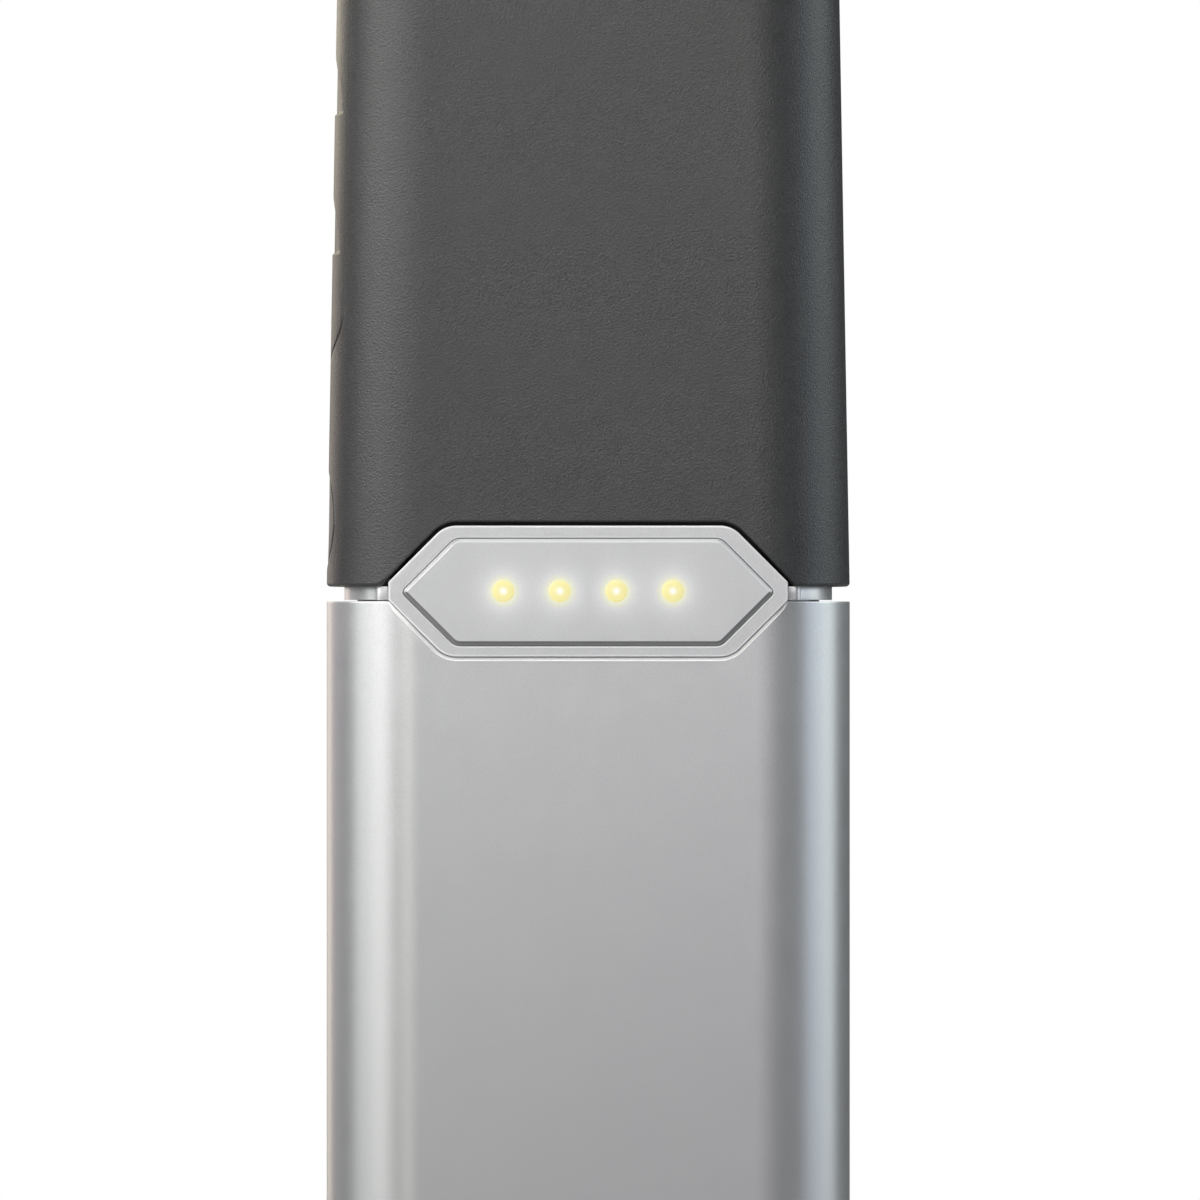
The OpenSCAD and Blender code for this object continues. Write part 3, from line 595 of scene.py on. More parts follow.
FINISHES = {
    # slot: colour, metallic, roughness, grain size mm, grain height mm, colour variation, kind
    "grip_dark": ((0.03, 0.03, 0.031), 0, 0.37, 0.085, 0.0062, 0.55, "leather"),
    "pad_dark": ((0.029, 0.029, 0.03), 0, 0.38, 0.085, 0.006, 0.5, "leather"),
    "button_dark": ((0.031, 0.031, 0.032), 0, 0.37, 0.085, 0.0055, 0.45, "leather"),
    "base_grey": ((0.05, 0.05, 0.052), 0, 0.5, 0.22, 0.004, 0.1, "leather"),
    "cover_rubber": ((0.05, 0.05, 0.052), 0, 0.55, 0.2, 0.004, 0.1, "leather"),
    "foot_rubber": ((0.022, 0.022, 0.023), 0, 0.7, 0.18, 0.005, 0.15, "leather"),
    "housing_silver": ((0.575, 0.575, 0.585), 0.75, 0.36, 0.1, 0.0008, 0.07, "flake"),
    "neck_silver": ((0.66, 0.66, 0.67), 0.7, 0.34, 0.1, 0.0006, 0.06, "flake"),
    "bezel_silver": ((0.59, 0.59, 0.6), 0.55, 0.36, 0.1, 0.0006, 0.05, "flake"),
    "panel_silver": ((0.58, 0.58, 0.59), 0.6, 0.37, 0.1, 0.0006, 0.05, "flake"),
    "ring_silver": ((0.56, 0.56, 0.57), 0.9, 0.3, 0.1, 0.0005, 0.06, "flake"),
    "nut_silver": ((0.58, 0.58, 0.59), 0.95, 0.28, 0.1, 0.0005, 0.06, "turned"),
    "light_pipe": ((0.5, 0.46, 0.22), 0, 0.3, 0.3, 0.0005, 0.03, "lamp"),
    "led_yellow": ((0.9, 0.84, 0.55), 0, 0.3, 0.2, 0.0005, 0.05, "plain"),
    "eraser_white": ((0.8, 0.8, 0.77), 0, 0.62, 0.35, 0.006, 0.05, "chalk"),
    "cradle_plastic": ((0.03, 0.03, 0.032), 0, 0.5, 0.25, 0.003, 0.12, "leather"),
    "cell_sleeve": ((0.03, 0.09, 0.25), 0, 0.3, 0.8, 0.003, 0.08, "plain"),
    "nickel": ((0.62, 0.61, 0.57), 1, 0.28, 0.15, 0.0006, 0.08, "turned"),
    "screw_steel": ((0.56, 0.56, 0.56), 1, 0.32, 0.12, 0.0008, 0.08, "turned"),
    "board_green": ((0.01, 0.11, 0.05), 0, 0.32, 0.6, 0.002, 0.12, "plain"),
    "chip_black": ((0.015, 0.015, 0.016), 0, 0.48, 0.12, 0.002, 0.15, "plain"),
    "usb_steel": ((0.58, 0.58, 0.59), 1, 0.3, 0.12, 0.0006, 0.07, "brushed"),
    "pin_steel": ((0.6, 0.6, 0.6), 1, 0.24, 0.1, 0.0005, 0.06, "turned"),
    "motor_zinc": ((0.55, 0.56, 0.57), 1, 0.34, 0.6, 0.001, 0.1, "brushed"),
    "magnet_ferrite": ((0.03, 0.03, 0.034), 0.1, 0.55, 0.15, 0.004, 0.15, "plain"),
    "bronze": ((0.42, 0.24, 0.08), 1, 0.42, 0.12, 0.003, 0.15, "plain"),
    "bell_nylon": ((0.66, 0.63, 0.55), 0, 0.42, 0.4, 0.002, 0.05, "plain"),
    "brass_part": ((0.66, 0.46, 0.16), 1, 0.3, 0.12, 0.0008, 0.1, "turned"),
    "core_steel": ((0.16, 0.17, 0.18), 0.9, 0.45, 0.5, 0.006, 0.15, "stacked"),
    "copper_wire": ((0.52, 0.17, 0.05), 0.9, 0.35, 0.25, 0.02, 0.12, "stacked"),
    "gear_acetal": ((0.78, 0.76, 0.68), 0, 0.36, 0.5, 0.0015, 0.04, "plain"),
    "alu_turned": ((0.55, 0.56, 0.57), 1, 0.32, 0.12, 0.0008, 0.08, "turned"),
    "race_steel": ((0.62, 0.62, 0.62), 1, 0.2, 0.1, 0.0004, 0.05, "turned"),
    "ball_steel": ((0.7, 0.7, 0.7), 1, 0.1, 0.1, 0.0002, 0.04, "plain"),
    "spindle_steel": ((0.55, 0.55, 0.56), 1, 0.28, 0.1, 0.0006, 0.07, "turned"),
    "collet_brass": ((0.68, 0.49, 0.19), 1, 0.26, 0.1, 0.0006, 0.08, "turned"),
    "wire_red": ((0.32, 0.015, 0.012), 0, 0.42, 0.3, 0.002, 0.06, "plain"),
}
# How a finish's grain is drawn out along the axes.
GRAIN_STRETCH = {"brushed": (1, 1, 0.06), "turned": (0.015, 0.015, 1), "stacked": (0.02, 0.02, 1)}
# Painted highlight and painted shade, mixed into the silver by the edge attribute.
PAINTED_HIGHLIGHT, PAINTED_SHADE = (0.93, 0.93, 0.94, 1), (0.10, 0.10, 0.105, 1)
# Painted shade: the dark colour of the neck above the gap.
NECK_PAINTED_SHADE = (0.015, 0.015, 0.015, 1)
# Painted shade: the silver of the housing is darker by this much low down, from this height.
HOUSE_PAINTED_SHADE, HOUSE_PAINTED_SHADE_Z = 0.84, 42
# Painted shade: the neck is dark above the gap, inside the grip, over this span of heights past
# the grip's edge.
NECK_PAINTED_SHADE_SPAN = (0.02, 0.10)
# The lights: radii in mm over which the white core fades, and the colours of ring and core.
CORE_SPAN = (0.06, 0.28)
LAMP_RING, LAMP_CORE = (0.44, 0.40, 0.18, 1), (0.54, 0.56, 0.72, 1)
# The halo round them on the panel: how fast it falls in mm, the radii in mm over which its
# colour changes, its colours, and its strength.
HALO_FALL, HALO_SPAN = 0.48, (0.62, 1.00)
HALO_NEAR, HALO_FAR, HALO_STRENGTH = (1.0, 0.98, 0.25, 1), (1.0, 1.0, 0.95, 1), 1.1
_finishes = {}


def parts_of(tree, position):
    split = new_node(tree, "ShaderNodeSeparateXYZ")
    link(tree, position, split.inputs[0])
    return split.outputs


def to_lights(tree, position):
    """Distances in the front plane from the nearer inner and outer light, in metres."""
    x, _, z = parts_of(tree, position)
    across = calc(tree, "ABSOLUTE", x)
    up = calc(tree, "SUBTRACT", z, PLATE_Z * MM)

    def distance(place):
        away = calc(tree, "SUBTRACT", across, place * LIGHT_PITCH * MM)
        squares = [calc(tree, "MULTIPLY", d, d) for d in (away, up)]
        return calc(tree, "SQRT", calc(tree, "ADD", *squares))

    return distance(0.5), distance(1.5)


def lit(tree, shader, glow):
    link(tree, glow, shader.inputs["Emission Color"])
    shader.inputs["Emission Strength"].default_value = 1.0


def add_lamp(tree, shader, coords):
    """The glow of a lit light: a yellow disc with a white core."""
    near = calc(tree, "MINIMUM", *to_lights(tree, coords))
    core = ramp(tree, near, CORE_SPAN[0] * MM, CORE_SPAN[1] * MM, 1, 0)
    lit(tree, shader, mix_colour(tree, core, LAMP_RING, LAMP_CORE))


def add_halo(tree, shader, coords):
    """The pale halo that each light throws on the panel."""
    inner, outer = to_lights(tree, coords)
    near = calc(tree, "MINIMUM", inner, outer)
    halo = calc(tree, "ADD", *(
        calc(tree, "EXPONENT", calc(tree, "MULTIPLY", away, -1 / (HALO_FALL * MM)))
        for away in (inner, outer)))
    change = ramp(tree, near, HALO_SPAN[0] * MM, HALO_SPAN[1] * MM, 0, 1)
    tint = mix_colour(tree, change, HALO_NEAR, HALO_FAR)
    share = calc(tree, "MULTIPLY", halo, HALO_STRENGTH, clamp=True)
    lit(tree, shader, mix_colour(tree, share, (0, 0, 0, 1), tint))


def finish_for(slot_name):
    """The procedural material of a slot, made once."""
    if slot_name in _finishes:
        return _finishes[slot_name]
    colour, metallic, rough, grain, height, vary, kind = FINISHES[slot_name]
    material = bpy.data.materials.new(slot_name + "_finish")
    material.use_nodes = True
    tree = material.node_tree
    shader = tree.nodes["Principled BSDF"]
    shader.inputs["Metallic"].default_value = metallic
    coords = new_node(tree, "ShaderNodeTexCoord").outputs["Object"]
    fine = 1 / (grain * MM)
    stretch = GRAIN_STRETCH.get(kind)
    grain_noise = noise(tree, coords, fine, 2.5, 0.6, stretch)
    broad_noise = noise(tree, coords, fine / 14, 3, 0.55)
    cloud = noise(tree, coords, 60, 2, 0.5)
    tone = weighted(tree, (grain_noise, 0.7), (broad_noise, 0.15), (cloud, 0.15))
    spread = ramp(tree, tone, 0.34, 0.66, 0, 1)
    base = mix_colour(tree, spread, shade(colour, 1 - vary), shade(colour, 1 + vary))
    # Painted highlight and painted shade from the edge attribute.
    if kind == "flake":
        painted_light_value = new_node(tree, "ShaderNodeAttribute", attribute_name="edge").outputs["Fac"]
        base = mix_colour(tree, calc(tree, "MAXIMUM", painted_light_value, 0.0), base, PAINTED_HIGHLIGHT)
        painted_shade_share = calc(tree, "MAXIMUM", calc(tree, "MULTIPLY", painted_light_value, -1.0), 0.0)
        base = mix_colour(tree, painted_shade_share, base, PAINTED_SHADE)
    # Painted shade: the housing's silver darkens towards the base.
    if slot_name == "housing_silver":
        lower = ramp(tree, parts_of(tree, coords)[2], HOUSE_PAINTED_SHADE_Z * MM, HOUSE_Z1 * MM, 1, 0)
        base = mix_colour(tree, lower, base, shade(colour, HOUSE_PAINTED_SHADE))
    # Painted shade: the neck turns dark above the gap, inside the grip.
    if slot_name == "neck_silver":
        low, high = ((GRIP_Z0 + up) * MM for up in NECK_PAINTED_SHADE_SPAN)
        neck_shade_share = ramp(tree, parts_of(tree, coords)[2], low, high, 0, 1)
        base = mix_colour(tree, neck_shade_share, base, NECK_PAINTED_SHADE)
    link(tree, base, shader.inputs["Base Color"])
    roughness = ramp(tree, broad_noise, 0.3, 0.7, rough - 0.015, rough + 0.015)
    link(tree, roughness, shader.inputs["Roughness"])
    relief = grain_noise
    if kind in ("leather", "chalk"):
        cells = new_node(tree, "ShaderNodeTexVoronoi", feature="SMOOTH_F1")
        set_inputs(cells, {"Scale": fine * 0.8, "Smoothness": 0.6})
        link(tree, coords, cells.inputs["Vector"])
        relief = weighted(tree, (grain_noise, 0.6), (cells.outputs["Distance"], 0.4))
    link(tree, bump(tree, relief, height * MM * 6), shader.inputs["Normal"])
    if kind == "flake":
        set_inputs(shader, {"Coat Weight": 0.25, "Coat Roughness": 0.30})
    if kind == "leather":
        shader.inputs["Specular IOR Level"].default_value = 0.56
    if kind == "lamp":
        add_lamp(tree, shader, coords)
    if slot_name == "panel_silver":
        add_halo(tree, shader, coords)
    _finishes[slot_name] = material
    return material


slot_of = {p["node"]: p["material_slot"] for p in frame["record"]["subparts"]}
for node_name, node_object in frame["nodes"].items():
    for material_slot in node_object.material_slots:
        material_slot.material = finish_for(slot_of[node_name])


# ---------- Grip shell ----------

RIM_R = 0.12
# The indicator's opening in each wall: width, height, half height of its blunt ends, and the
# radii at its feet and at its corners.
GRIP_NOTCH = (21.6, 7.35, 0.563, 0.7, 1.75)
HOUSE_NOTCH = (21.28, 7.03, 0.497, 0.14, 1.54)
NOTCH_REACH = 12.6
# The height from which a wall's rows of faces are level again, past its notch.
GRIP_CALM, HOUSE_CALM = 83.0, 66.0
GRIP_THICK, HOUSE_THICK = 1.35, 1.5
# Columns (s) and rows (z) of the grids that are left out round the openings.
SIDE_COLUMNS, BUTTON_ROWS, PAD_ROWS = (2.5, 3.5), (75.0, 82.0), (83.0, 121)
PORT_COLUMNS, PORT_ROWS = (1.6, 2.4), (17, 3.4)


def side_pad_path(n=220):
    """The pad's outline on the left side, in (y, z), anticlockwise."""
    half = pad_high[1]
    t = np.linspace(0, math.pi, 60)
    top = np.stack([half * np.cos(t), PAD_HIGH + PAD_END * np.sin(t)], 1)
    bottom = np.stack([-half * np.cos(t), PAD_LOW - PAD_END * np.sin(t)], 1)
    rise = np.linspace(PAD_LOW, PAD_HIGH, n)[1:-1]
    right = np.stack([np.full_like(rise, half), rise], 1)
    left = np.stack([np.full_like(rise, -half), rise[::-1]], 1)
    return np.concatenate([right, top, left, bottom])


def pad_seam(z):
    """1 at the pad's curved ends, where its seam is open, and 0 along its straight sides."""
    return smooth_step((np.maximum(PAD_LOW - z, z - PAD_HIGH) + 1.2) / 1.4)


def button_path(by):
    """The button's outline on the left side, in (y, z), grown by a distance."""
    return obround(button_high[1] - button_low[1] + 2 * by, BUTTON_H + 2 * by) + [0, BUTTON_Z]


def on_side(path, wall, centre=3):
    """A (y, z) path on the side as (s, z)."""
    return np.stack([wall.s_side(path[:, 0], path[:, 1], centre), path[:, 1]], 1)


def notch_line(z_edge, hex_w, hex_h, hex_tip, foot_r, corner_r, up):
    """The edge of a wall that steps round half the indicator, from -X to +X, in (x, z)."""
    w, h = hex_w / 2, hex_h / 2
    rel = abs(z_edge - PLATE_Z)
    foot = w + hex_tip - rel
    far = w + hex_tip - h
    sign = 1 if up else -1
    corners = [(-NOTCH_REACH, z_edge), (-foot, z_edge), (-far, PLATE_Z + sign * h),
               (far, PLATE_Z + sign * h), (foot, z_edge), (NOTCH_REACH, z_edge)]
    radii = [0, foot_r, corner_r, corner_r, foot_r, 0]
    return rounded_path(corners, radii, closed=False, arc=12, step=0.35)


def edge_columns(wall, line, up, side_s, radius, ledge):
    """Columns round the wall: the edge point of each, the point a rim's width back from it, and
    the rim's radius and ledge there. Both are given for the level edge and for the notch."""
    s = wall.s_front(line[:, 0], line[:, 1])
    z_edge = line[0, 1]
    path = np.stack([s, line[:, 1]], 1)
    rest = side_s[(side_s > s[-1] + 0.005) & (side_s < 4 + s[0] - 0.005)]
    edge = np.concatenate([path, np.stack([rest, np.full_like(rest, z_edge)], 1)])
    notch = smooth_step(abs(edge[:, 1] - z_edge) / 0.4)
    r = radius[0] + (radius[1] - radius[0]) * notch
    step = None if ledge is None else ledge[0] + (ledge[1] - ledge[0]) * notch
    width = r if ledge is None else r + 2 * step
    ahead = np.gradient(path * STRETCH, axis=0)
    ahead /= np.linalg.norm(ahead, axis=1, keepdims=True)
    away = np.tile([0.0, 1.0], (len(edge), 1))
    away[:len(path)] = np.stack([-ahead[:, 1], ahead[:, 0]], 1)
    back = edge + away * width[:, None] * (1 if up else -1) / STRETCH
    return edge, back, r, step


def wall_grid(work, edge, back, levels, z_calm):
    """Point ids of a grid that starts at the back row and reaches the given levels."""
    z_edge = edge[:, 1]
    start = edge[-1, 1]
    rows = [work.add(back)]
    for level in levels:
        share = np.clip((level - start) / (z_calm - start), 0, 1)
        z = np.where(share < 1, back[:, 1] + (z_calm - back[:, 1]) * share, level)
        fade = (1 - share) ** 3
        s = edge[:, 0] + (back[:, 0] - edge[:, 0]) * fade
        rows.append(work.add(np.stack([s, z], 1)))
    return np.array(rows).T


def rectangle(ids, columns, rows):
    """The ids round a rectangle of a grid, anticlockwise, starting at its low corner."""
    i0, i1 = columns
    j0, j1 = rows
    return np.concatenate([ids[i0:i1, j0], ids[i1, j0:j1], ids[i1:i0:-1, j1], ids[i0, j1:j0:-1]])


def span(values, ends):
    """Indices of the values nearest to two ends."""
    return tuple(int(np.argmin(abs(values - end))) for end in ends)


def row_span(levels, ends):
    """The same among a grid's rows, whose first lies before the levels."""
    return tuple(1 + k for k in span(levels, ends))


def opening_loop(work, ids, columns, rows, outline, middle, radius):
    """Fills a rectangle of a grid up to an opening's outline, and gives the opening's loop, with
    a rim whose radius is a function of the height. middle is the outline's centre."""
    ring_ids = rectangle(ids, columns, rows)
    ring = np.array([work.points[i] for i in ring_ids])
    centre = np.array(middle)
    loop = annulus(work, ring_ids, ring, grow(outline, radius(outline[:, 1])), centre)
    placed = np.array([work.points[i] for i in loop])
    return loop, radial(outline, placed, centre), radius(placed[:, 1]), None


def even_columns(*runs):
    """Places round the wall, from runs of (start, end, count)."""
    return np.unique(np.round(np.concatenate([np.linspace(*run) for run in runs]), 9))


def build_grip_shell():
    line = notch_line(GRIP_Z0, *GRIP_NOTCH, True)
    side_s = even_columns((0.5, 1.5, 50), (1.5, 2.5, 56), (2.5, 3.5, 121))
    edge, back, r, _ = edge_columns(grip_wall, line, True, side_s, (0.2, 0.12), None)
    levels = np.concatenate([
        np.linspace(*BUTTON_ROWS, 22), np.linspace(82.3, GRIP_CALM, 4),
        np.linspace(83.3, PAD_ROWS[1], 122), np.linspace(121.6, GRIP_Z1 - RIM_R, 43)])
    work = Patchwork()
    ids = wall_grid(work, edge, back, levels, GRIP_CALM)
    columns = span(edge[:, 0], SIDE_COLUMNS)
    pad = side_pad_path()
    pad_opening = grow(on_side(pad, grip_wall), 0.008 + 0.062 * pad_seam(pad[:, 1]))
    openings = [
        (row_span(levels, BUTTON_ROWS), on_side(button_path(0.11), grip_wall),
         lambda z: 0 * z + 0.16),
        (row_span(levels, PAD_ROWS), pad_opening, lambda z: 0.012 + 0.10 * pad_seam(z))]
    work.grid(ids, hole=lambda i, j: columns[0] <= i < columns[1] and any(
        rows[0] <= j < rows[1] for rows, _, _ in openings))
    top = np.stack([edge[:, 0], np.full(len(edge), GRIP_Z1)], 1)
    loops = [(ids[:, 0], edge, r, None), (ids[:, -1], top, RIM_R, None)]
    for rows, outline, radius in openings:
        middle = (3.0, (outline[:, 1].min() + outline[:, 1].max()) / 2)
        loops.append(opening_loop(work, ids, columns, rows, outline, middle, radius))
    return thick_wall("grip_shell_skin", grip_wall, work, loops, GRIP_THICK, "body", "grip_shell",
                      "grip_dark")


build_grip_shell()


# ---------- Battery housing ----------

# The plate at the bottom of the port's pocket: the size of its hole, and its front and back.
SOCKET_HOLE = (9.6, 3.9)
SOCKET_FRONT, SOCKET_BACK = 9.85, 9.5


def socket_plate(pocket):
    """Points, normals and faces of the plate, which fills the pocket round the socket."""
    slot_z = (usb_low[2] + usb_high[2]) / 2
    hole = obround(*SOCKET_HOLE) + [0, slot_z]
    around_hole = radial(pocket, hole, np.array([0, slot_z]), np.array([1.0, 1.0]))
    rings = [np.stack([p[:, 0], np.full(len(p), y), p[:, 1]], 1)
             for p, y in ((around_hole, SOCKET_FRONT), (hole, SOCKET_FRONT),
                          (hole, SOCKET_BACK), (around_hole, SOCKET_BACK))]
    points, faces = loft(rings, around=True)
    normals = [np.tile([0, way, 0], (2 * len(hole), 1)) for way in (1.0, -1.0)]
    return points, np.concatenate(normals), faces


def build_housing():
    line = notch_line(HOUSE_Z1, *HOUSE_NOTCH, False)
    side_s = even_columns((0.5, 1.6, 56), (1.6, 2.4, 80), (2.4, 3.5, 56))
    edge, back, r, step = edge_columns(house_wall, line, False, side_s, (0.06, 0.06),
                                       (0.012, 0.075))
    levels = np.concatenate([np.linspace(73.0, HOUSE_CALM, 18), np.linspace(65, 18, 24),
                             np.linspace(*PORT_ROWS, 56), [HOUSE_Z0 + RIM_R]])
    work = Patchwork()
    ids = wall_grid(work, edge, back, levels, HOUSE_CALM)
    columns, rows = span(edge[:, 0], PORT_COLUMNS), row_span(levels, PORT_ROWS)
    work.grid(ids, hole=lambda i, j: columns[0] <= i < columns[1] and rows[0] <= j < rows[1])
    bottom = np.stack([edge[:, 0], np.full(len(edge), HOUSE_Z0)], 1)
    loops = [(ids[:, 0], edge, r, step), (ids[:, -1], bottom, RIM_R, None)]
    z0, z1 = cover_low[2] - 0.2, pin_high[2] + 0.5
    w = (cover_high[0] - cover_low[0]) / 2 + 0.15
    pocket = rounded_path([(w, z0), (w, z1), (-w, z1), (-w, z0)], [0.8, 0.25, 0.25, 0.8], arc=12)
    loops.append(opening_loop(work, ids, columns, rows, on_side(pocket, house_wall, centre=2),
                              (2.0, (z0 + z1) / 2), lambda z: 0 * z + RIM_R))
    # The top rim gets a painted highlight.
    return thick_wall("battery_housing_skin", house_wall, work, loops, HOUSE_THICK, "body",
                      "battery_housing", "housing_silver", extra=socket_plate(pocket),
                      painted_rim_highlight=0.28)


build_housing()


# ---------- Side pad and button ----------

def on_left(y, z):
    """The point of the grip's left side at (y, z), and its outward normal."""
    s = grip_wall.s_side(y, z, 3)
    return grip_wall.point(s, z), grip_wall.normal(s, z)


# The thumb scoops: height of the lowest ledge above the joint, distance between ledges, half
# width and height of each.
SCOOP_FIRST, SCOOP_PITCH, SCOOP_HALF, SCOOP_TALL = 18.15, 7.45, 7.8, 5


def scoop_depth(y, z):
    """How far the thumb scoops go in at (y, z): each fades out towards the spine at y = 0,
    and is deepest at its ledge."""
    deep = np.zeros_like(z)
    across = smooth_step((abs(y) - 1.3) / 2.2)
    for k in range(3):
        up = z - (JOINT_Z + SCOOP_FIRST + SCOOP_PITCH * k)
        inside = 1 - (y / SCOOP_HALF) ** 2 - (up / SCOOP_TALL) ** 2
        slope = np.sqrt((2 * y / SCOOP_HALF ** 2) ** 2 + (2 * up / SCOOP_TALL ** 2) ** 2) + 0.02
        rim = smooth_step(inside / slope / 0.09)
        fall = 0.06 + 0.15 * (1 - np.clip(up / SCOOP_TALL, 0, 1)) ** 1.5
        deep += across * rim * smooth_step(up / 0.17) * fall
    return deep


def side_piece(name, path, spine, rings, drop, depth, fillet, thick, body, node, slot_name):
    """A piece let into the left side: its outline, filled towards a spine, and its edge. The
    outline runs anticlockwise, and fillet is the radius round its edge."""
    n = outward(path)
    fillet = np.broadcast_to(fillet, len(path))
    rows = []

    def add(flat, fall):
        at, normal = on_left(flat[:, 0], flat[:, 1])
        rows.append(at - normal * np.broadcast_to(fall, len(flat))[:, None])

    flat = path - n * fillet[:, None]
    for t in rings:
        p = spine(path) + (flat - spine(path)) * t
        add(p, drop + depth(p[:, 0], p[:, 1]))
    for a in np.linspace(0, math.pi / 2, 6)[1:]:
        p = path - n * (fillet * (1 - math.sin(a)))[:, None]
        add(p, drop + depth(p[:, 0], p[:, 1]) + fillet * (1 - math.cos(a)))
    add(path, thick)
    add(spine(path), thick)
    points, faces = loft(rows)
    return make(name, points, faces, body, node, slot_name, sharp=50)


def pad_spine(path):
    return np.stack([np.zeros(len(path)), np.clip(path[:, 1], PAD_LOW, PAD_HIGH)], 1)


def button_spine(path):
    half = (button_high[1] - button_low[1]) / 2 - BUTTON_H / 2
    return np.stack([np.clip(path[:, 0], -half, half), np.full(len(path), BUTTON_Z)], 1)


def button_dish(y, z):
    """Depth of the shallow dish in the button's face."""
    across, up = np.clip(1 - (y / 6.6) ** 2, 0, 1), np.clip(1 - ((z - BUTTON_Z) / 2.3) ** 2, 0, 1)
    return 0.12 * across * up


pad_outline = side_pad_path(n=560)
side_piece("side_grip_pad", pad_outline, pad_spine, np.linspace(0, 1, 90), drop=0.0,
           depth=scoop_depth, fillet=0.012 + 0.075 * pad_seam(pad_outline[:, 1]), thick=0.9,
           body="body", node="side_grip", slot_name="pad_dark")
side_piece("power_button_cap", button_path(-0.06), button_spine, np.linspace(0, 1, 16), drop=0.05,
           depth=button_dish, fillet=0.12, thick=1.7,
           body="button", node="power_button", slot_name="button_dark")


# ---------- Indicator ----------

BEZEL_EDGE = 0.11
PANEL_BEVEL = 0.24
PANEL_DROP = 0.05
# Half height of a hexagon's blunt ends, and the radii of its ends and of its corners.
BEZEL_SHAPE, PANEL_SHAPE = (0.48, 0.22, 1.5), (0, 0.3, 0.75)
# A light's domed tip: radius, and depth from the panel's front.
LIGHT_DOME = ((0.02, -0.045), (0.2, -0.043), (0.4, -0.034), (0.52, -0.02), (0.58, -0.004),
              (0.6, 0.02))


def tilted(path, degrees):
    """Normals along a path that faces the front, tipped outward from the front."""
    n = outward(path)
    n /= np.linalg.norm(n, axis=1, keepdims=True)
    n *= math.sin(math.radians(degrees))
    return np.stack([n[:, 0], np.full(len(path), -math.cos(math.radians(degrees))), n[:, 1]], 1)


def upper_share(path):
    """1 along the sides of a closed path that face up, and 0 along those that face down."""
    return smooth_step((tilted(path, 90)[:, 2] + 0.3) / 0.6)


